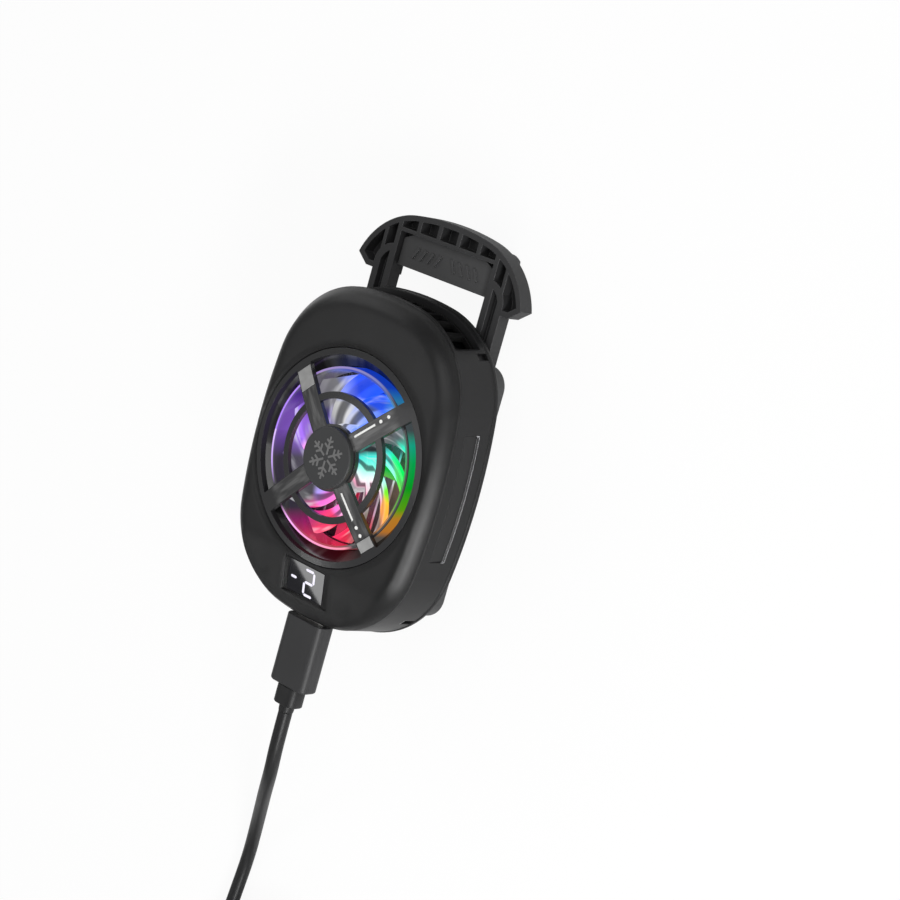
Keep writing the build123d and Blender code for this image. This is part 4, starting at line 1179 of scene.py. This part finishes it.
@dataclass
class Tie:
    """Woven strap round the coil, with its loose end laid over the top."""

    corner: float = 1.7 * MM
    thickness: float = 0.55 * MM
    edge: float = 0.12 * MM
    tongue_length: float = 11.0 * MM
    tongue_lift: float = 0.05 * MM

    def band(self, low: Vector, high: Vector) -> Piece:
        """Makes the strap as a closed band with rounded corners.

        Args:
            low: Lowest corner of the strap.
            high: Highest corner.

        Returns:
            The band.
        """
        band = block("coil_tie", low, high)
        round_along(band, Axis.Y, self.corner)
        bpy.ops.object.mode_set(mode="EDIT")
        pick(band, "FACE", lambda face: abs(face.normal.y) > 0.9)
        bpy.ops.mesh.inset(thickness=self.thickness, use_boundary=True)
        bpy.ops.mesh.bridge_edge_loops()
        bpy.ops.mesh.select_all(action="SELECT")
        bpy.ops.mesh.normals_make_consistent(inside=False)
        bpy.ops.object.mode_set(mode="OBJECT")
        return band

    def build(self) -> Piece:
        """Makes the strap with its loose end.

        Returns:
            The strap.
        """
        low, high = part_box("cord_tie")
        band = self.band(low, high)
        tongue = block(
            "tongue",
            Vector((low.x + self.corner, low.y + self.edge, high.z + self.tongue_lift)),
            Vector((low.x + self.tongue_length, high.y - self.edge, high.z + self.thickness)),
        )
        round_along(tongue, Axis.Z, self.corner)
        tie = merge("coil_tie", [band, tongue])
        soften(tie, self.edge, 2)
        return tie


# Pads


class Facing(Enum):
    """The way that a hook's pad faces, along Y."""

    UP = 1.0
    DOWN = -1.0


@dataclass
class HookPad:
    """Grooved rubber pad on the inner face of a hook."""

    node: str
    body: str
    facing: Facing
    corner: float = 1.1 * MM
    groove_count: int = 4
    groove_width: float = 0.6 * MM
    groove_depth: float = 0.3 * MM
    edge: float = 0.12 * MM

    def build(self) -> None:
        """Makes the pad and fixes it to its hook."""
        low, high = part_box(self.node)
        pad = block(self.node + "_rubber", low, high)
        round_along(pad, Axis.Y, self.corner)
        pitch = (high.z - low.z) / (self.groove_count + 1)
        middles = [low.z + pitch * (index + 1) for index in range(self.groove_count)]
        bpy.ops.object.mode_set(mode="EDIT")
        for middle in middles:
            for side in (-0.5, 0.5):
                bpy.ops.mesh.select_all(action="SELECT")
                bpy.ops.mesh.bisect(
                    plane_co=(0.0, 0.0, middle + side * self.groove_width), plane_no=Axis.Z.value
                )

        def in_groove(face: bmesh.types.BMFace) -> bool:
            """Whether a face is on the front and in a groove.

            Args:
                face: The face.

            Returns:
                True for a face that the groove takes in.
            """
            height = face.calc_center_median().z
            near = min(abs(height - middle) for middle in middles)
            return face.normal.y * self.facing.value > 0.9 and near < self.groove_width / 4

        pick(pad, "FACE", in_groove)
        bpy.ops.mesh.extrude_region_move(
            TRANSFORM_OT_translate={"value": (0.0, -self.facing.value * self.groove_depth, 0.0)}
        )
        bpy.ops.object.mode_set(mode="OBJECT")
        soften(pad, self.edge, 2)
        install(pad, self.body, RUBBER.material(), "rubber_pad", self.node)


@dataclass
class ThermalPad:
    """Soft silicone pad on the cold plate."""

    corner: float = 1.8 * MM
    edge: float = 0.22 * MM
    margin: float = 2.2 * MM
    crown: float = 0.06 * MM

    def build(self) -> None:
        """Makes the pad, a little crowned in its middle."""
        low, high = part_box("silicone_pad")
        pad = block("thermal_pad", low + Vector((0.0, 0.0, self.crown)), high)
        round_along(pad, Axis.Z, self.corner)
        bpy.ops.object.mode_set(mode="EDIT")
        pick(pad, "FACE", lambda face: face.normal.z < -0.9)
        bpy.ops.mesh.inset(thickness=self.margin)
        bpy.ops.transform.translate(value=(0.0, 0.0, -self.crown))
        bpy.ops.object.mode_set(mode="OBJECT")
        soften(pad, self.edge, 3)
        install(pad, "housing", SILICONE.material(), "silicone", "silicone_pad")


# Display


class Segment(Enum):
    """Lit segments of one digit: start and end, in shares of its width and its height."""

    TOP = ((0.0, 1.0), (1.0, 1.0))
    MIDDLE = ((0.0, 0.5), (1.0, 0.5))
    BOTTOM = ((0.0, 0.0), (1.0, 0.0))
    UPPER_RIGHT = ((1.0, 0.5), (1.0, 1.0))
    LOWER_LEFT = ((0.0, 0.0), (0.0, 0.5))


@dataclass
class Display:
    """Dark window with a lit minus sign and one lit digit."""

    tilt: float = math.radians(11.6)
    glass_length: float = 7.6 * MM
    pen: Pen = Pen(0.62 * MM, 0.03 * MM, 0.49, 1)
    segment_gap: float = 0.14 * MM
    digit_low: Span = (-0.38 * MM, -3.3 * MM)
    digit_size: Span = (2.9 * MM, 6.2 * MM)
    minus_from: float = -4.9 * MM
    minus_to: float = -2.7 * MM
    sink: float = 0.005 * MM

    def ground(self) -> Matrix:
        """Finds the window's outer face.

        Returns:
            Place and tilt of the face.
        """
        low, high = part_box("display_window")
        centre = Vector((
            (low.x + high.x) / 2,
            low.y + self.glass_length / 2 * math.cos(self.tilt),
            high.z - self.glass_length / 2 * math.sin(self.tilt) - self.sink,
        ))
        return Matrix.Translation(centre) @ Matrix.Rotation(self.tilt, 4, "X")

    def segment(self, start: Vector, end: Vector) -> Piece:
        """Makes one lit segment, with a gap at both its ends."""
        inset = (end - start).normalized() * self.segment_gap
        return self.pen.stroke(start + inset, end - inset, self.ground())

    def digits(self) -> Piece:
        """Makes the minus sign and the digit.

        Returns:
            The lit figures.
        """
        corner = Vector(self.digit_low)
        strokes = []
        for segment in Segment:
            start, end = (
                corner + Vector((share[0] * self.digit_size[0], share[1] * self.digit_size[1]))
                for share in segment.value
            )
            strokes.append(self.segment(start, end))
        level = self.digit_low[1] + self.digit_size[1] / 2
        ends = (Vector((place, level)) for place in (self.minus_from, self.minus_to))
        strokes.append(self.segment(*ends))
        return merge("display_figures", strokes)

    def light(self) -> Material:
        """Makes the white light of the segments, a little uneven.

        Returns:
            The material.
        """
        sheet = Sheet("lit_segment")
        cloud = sheet.noise(0.8 * MM)
        glow = sheet.mix(cloud, (0.78, 0.74, 1.0), (0.98, 0.97, 1.0))
        return sheet.principled(
            Base_Color=(0.1, 0.1, 0.1), Emission_Color=glow, Emission_Strength=1.0
        )

    def glass(self) -> Material:
        """Makes the dark tinted window, with faint smears in its gloss.

        Returns:
            The material.
        """
        sheet = Sheet("display_glass")
        smear = sheet.noise(2.5 * MM, 3.0)
        tint = sheet.mix(smear, (0.002, 0.002, 0.004), (0.005, 0.005, 0.008))
        return sheet.principled(Base_Color=tint, Roughness=0.012 + smear * 0.02)

    def build(self, nodes: dict) -> None:
        """Dresses the window and lays the figures on it."""
        dress(nodes["display_window"], self.glass())
        install(self.digits(), "housing", self.light(), "display")


# Guard


class Arm(Enum):
    """Arms of the guard, by their angle from X in degrees."""

    UPPER_RIGHT = 45.0
    UPPER_LEFT = 135.0
    LOWER_RIGHT = -45.0


@dataclass
class GuardMarks:
    """White lines and dots on two arms, and the pale ends of two arms."""

    guard: Piece
    centre: Vector
    line_width: float = 0.5 * MM
    dot_radius: float = 0.42 * MM
    lift: float = 0.02 * MM
    clear: float = 3.0 * MM
    end_from: float = 17.6 * MM
    end_to: float = 22.6 * MM
    low_end_from: float = 20.2 * MM
    end_width: float = 4.1 * MM
    slices: int = 16
    dot_sides: int = 16

    def strip(self, arm: Arm, start: float, end: float, aside: float, width: float) -> Piece:
        """Lays a thin strip along an arm.

        Args:
            arm: The arm.
            start: Radius where it starts.
            end: Radius where it ends.
            aside: Its distance from the arm's middle line.
            width: Its width.

        Returns:
            The strip.
        """
        bpy.ops.mesh.primitive_grid_add(x_subdivisions=self.slices, y_subdivisions=3, size=1.0)
        made = bpy.context.object
        made.scale = Vector((end - start, width, 1.0))
        made.location = Vector(((start + end) / 2, aside, 0.0))
        return self.put(made, arm)

    def dot(self, arm: Arm, radius: float, aside: float) -> Piece:
        """Lays a round dot on an arm.

        Args:
            arm: The arm.
            radius: Its distance from the fan's axis along the arm.
            aside: Its distance from the arm's middle line.

        Returns:
            The dot.
        """
        bpy.ops.mesh.primitive_circle_add(
            vertices=self.dot_sides,
            radius=self.dot_radius,
            fill_type="TRIFAN",
            location=(radius, aside, 0.0),
        )
        return self.put(bpy.context.object, arm)

    def put(self, flat: Piece, arm: Arm) -> Piece:
        """Turns a flat piece about the fan's axis to its arm, and lays it on the guard.

        Args:
            flat: The piece, drawn along X from the axis.
            arm: The arm that it goes on.

        Returns:
            The piece.
        """
        settle(flat)
        _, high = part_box("fan_guard")
        above = Vector((self.centre.x, self.centre.y, high.z + self.clear))
        turn = Matrix.Rotation(math.radians(arm.value), 4, "Z")
        flat.matrix_world = Matrix.Translation(above) @ turn
        settle(flat)
        lay(flat, self.guard, self.lift)
        return flat

    def build(self) -> None:
        """Makes the marks and fixes them to the guard."""
        marks = [
            self.strip(Arm.UPPER_RIGHT, 8.4 * MM, 14.6 * MM, 1.05 * MM, self.line_width),
            self.dot(Arm.UPPER_RIGHT, 16.2 * MM, 1.05 * MM),
            self.dot(Arm.UPPER_RIGHT, 18.45 * MM, 1.05 * MM),
            self.strip(Arm.LOWER_RIGHT, 8.6 * MM, 15.3 * MM, -0.35 * MM, self.line_width),
            self.dot(Arm.LOWER_RIGHT, 17.1 * MM, -0.25 * MM),
            self.dot(Arm.LOWER_RIGHT, 19.1 * MM, -0.2 * MM),
        ]
        install(merge("guard_lines", marks), "housing", PRINT.material(), "guard_plastic")
        ends = [
            self.strip(Arm.UPPER_LEFT, self.end_from, self.end_to, 0.0, self.end_width),
            self.strip(Arm.LOWER_RIGHT, self.low_end_from, self.end_to, 0.0, self.end_width),
        ]
        install(merge("guard_pale_end", ends), "housing", END_PAD.material(), "guard_plastic")


@dataclass
class Snowflake:
    """Plain snowflake on the hub's cap: six straight arms with pairs of side branches."""

    centre: Vector
    top: float
    inner: float = 0.7 * MM
    reach: float = 5.0 * MM
    line: float = 0.5 * MM
    line_end: float = 0.3
    end_facets: int = 4
    height: float = 0.09 * MM
    height_step: float = 0.004 * MM
    branch_places: tuple[float, ...] = (2.3 * MM, 3.6 * MM)
    branch_lengths: tuple[float, ...] = (1.5 * MM, 1.1 * MM)
    branch_angle: float = math.radians(60.0)
    sink: float = 0.01 * MM
    print_colour: Colour = (0.15, 0.15, 0.15)
    specular: float = 0.1

    def arm(self, angle: float) -> list[Piece]:
        """Makes one arm with its side branches, each bar lower than the last.

        Bars of one height would have their tops in one plane where they cross.

        Args:
            angle: Direction of the arm.

        Returns:
            The bars of the arm.
        """
        def at(radius: float, aside: float = 0.0) -> Vector:
            """Place at a radius along the arm, turned aside by an angle."""
            return Vector((radius * math.cos(angle + aside), radius * math.sin(angle + aside)))

        ends = [(at(self.inner), at(self.reach))]
        for side in (-1.0, 1.0):
            for place, length in zip(self.branch_places, self.branch_lengths):
                ends.append((at(place), at(place) + at(length, side * self.branch_angle)))
        ground = Matrix.Translation((self.centre.x, self.centre.y, self.top - self.sink))
        bars = []
        for count, (start, end) in enumerate(ends):
            height = self.height - count * self.height_step
            pen = Pen(self.line, height, self.line_end, self.end_facets)
            bars.append(pen.stroke(start, end, ground))
        return bars

    def paint(self) -> Material:
        """Makes the single grey print, a little lighter than the cap.

        Returns:
            The material.
        """
        sheet = Sheet("snowflake_print")
        grain = sheet.noise(0.3 * MM)
        return sheet.principled(
            self.specular,
            Base_Color=self.print_colour,
            Roughness=0.35 + grain * 0.1,
            Normal=sheet.bump(grain, 0.01 * MM),
        )

    def build(self) -> None:
        """Makes the snowflake and fixes it to the cap."""
        bars = []
        for index in range(6):
            bars.extend(self.arm(math.radians(30 + 60 * index)))
        flake = merge("cap_snowflake", bars)
        install(flake, "housing", self.paint(), "cap_plastic")


@dataclass
class Fan:
    """The lit fan, its light ring, its funnel and the guard over it."""

    nodes: dict

    def build(self) -> None:
        """Dresses the fan and adds the marks on the guard and the sign on the hub's cap."""
        low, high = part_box("hub_cap")
        centre = (low + high) / 2
        dress(self.nodes["impeller"], LitBlades(centre).material())
        dress(self.nodes["light_ring"], LitRing(centre).material())
        dress(self.nodes["fan_frame"], ReflectionBandedFunnel(centre).material())
        dress(self.nodes["fan_guard"], SmokedGuard(centre).material())
        GuardMarks(self.nodes["fan_guard"], centre).build()
        Snowflake(centre, high.z).build()


# Frame nodes


NODE_FINISHES: dict[Finish, tuple[str, ...]] = {
    SHELL: ("front_cover",),
    MIDDLE: ("middle_frame",),
    FRAME: ("side_panel_right", "side_panel_left", "rear_cover"),
    VENT: ("exhaust_grille",),
    STEEL: (
        "housing_screws", "fan_shaft", "base_screws", "spring_strip_left", "spring_strip_right",
    ),
    BRONZE: ("shaft_bearing", "motor_stator"),
    BOARD: ("motor_board", "led_board", "display_module", "control_board"),
    MAGNET: ("rotor_magnet",),
    CAP: ("hub_cap",),
    PLUG_METAL: ("usb_socket", "plug_shell", "usb_a_shell"),
    ALUMINIUM: ("cold_plate", "heat_sink"),
    CERAMIC: ("peltier_module",),
    FOAM: ("insulation_gasket",),
    JAW: ("clamp_base", "lower_hook", "grip_plate", "jaw_hook"),
    RIBS: ("jaw_frame",),
    DRUM: ("spring_drum_left", "spring_drum_right"),
    PLUG: ("plug_body", "usb_a_body"),
    CABLE: ("usb_a_strain_relief",),
    CONTACT: ("usb_a_insulator",),
}


def main() -> None:
    """Builds the scene."""
    logging.basicConfig(level=logging.INFO, format="%(name)s %(message)s")
    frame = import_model()
    nodes = frame["nodes"]
    stage = Stage()
    stage.camera()
    cord = Cord()
    cord_piece = cord.build()
    for finish, names in NODE_FINISHES.items():
        for name in names:
            dress(nodes[name], finish.material())
    tie = Tie().build()
    install(tie, "housing", Woven().material(), "tie_fabric", "cord_tie")
    PlugRelief().build()
    HookPad("lower_hook_pad", "housing", Facing.UP).build()
    HookPad("jaw_hook_pad", "jaw", Facing.DOWN).build()
    ThermalPad().build()
    Display().build(nodes)
    Fan(nodes).build()
    stage.floor()
    stage.lights()


if __name__ == "__main__":
    main()
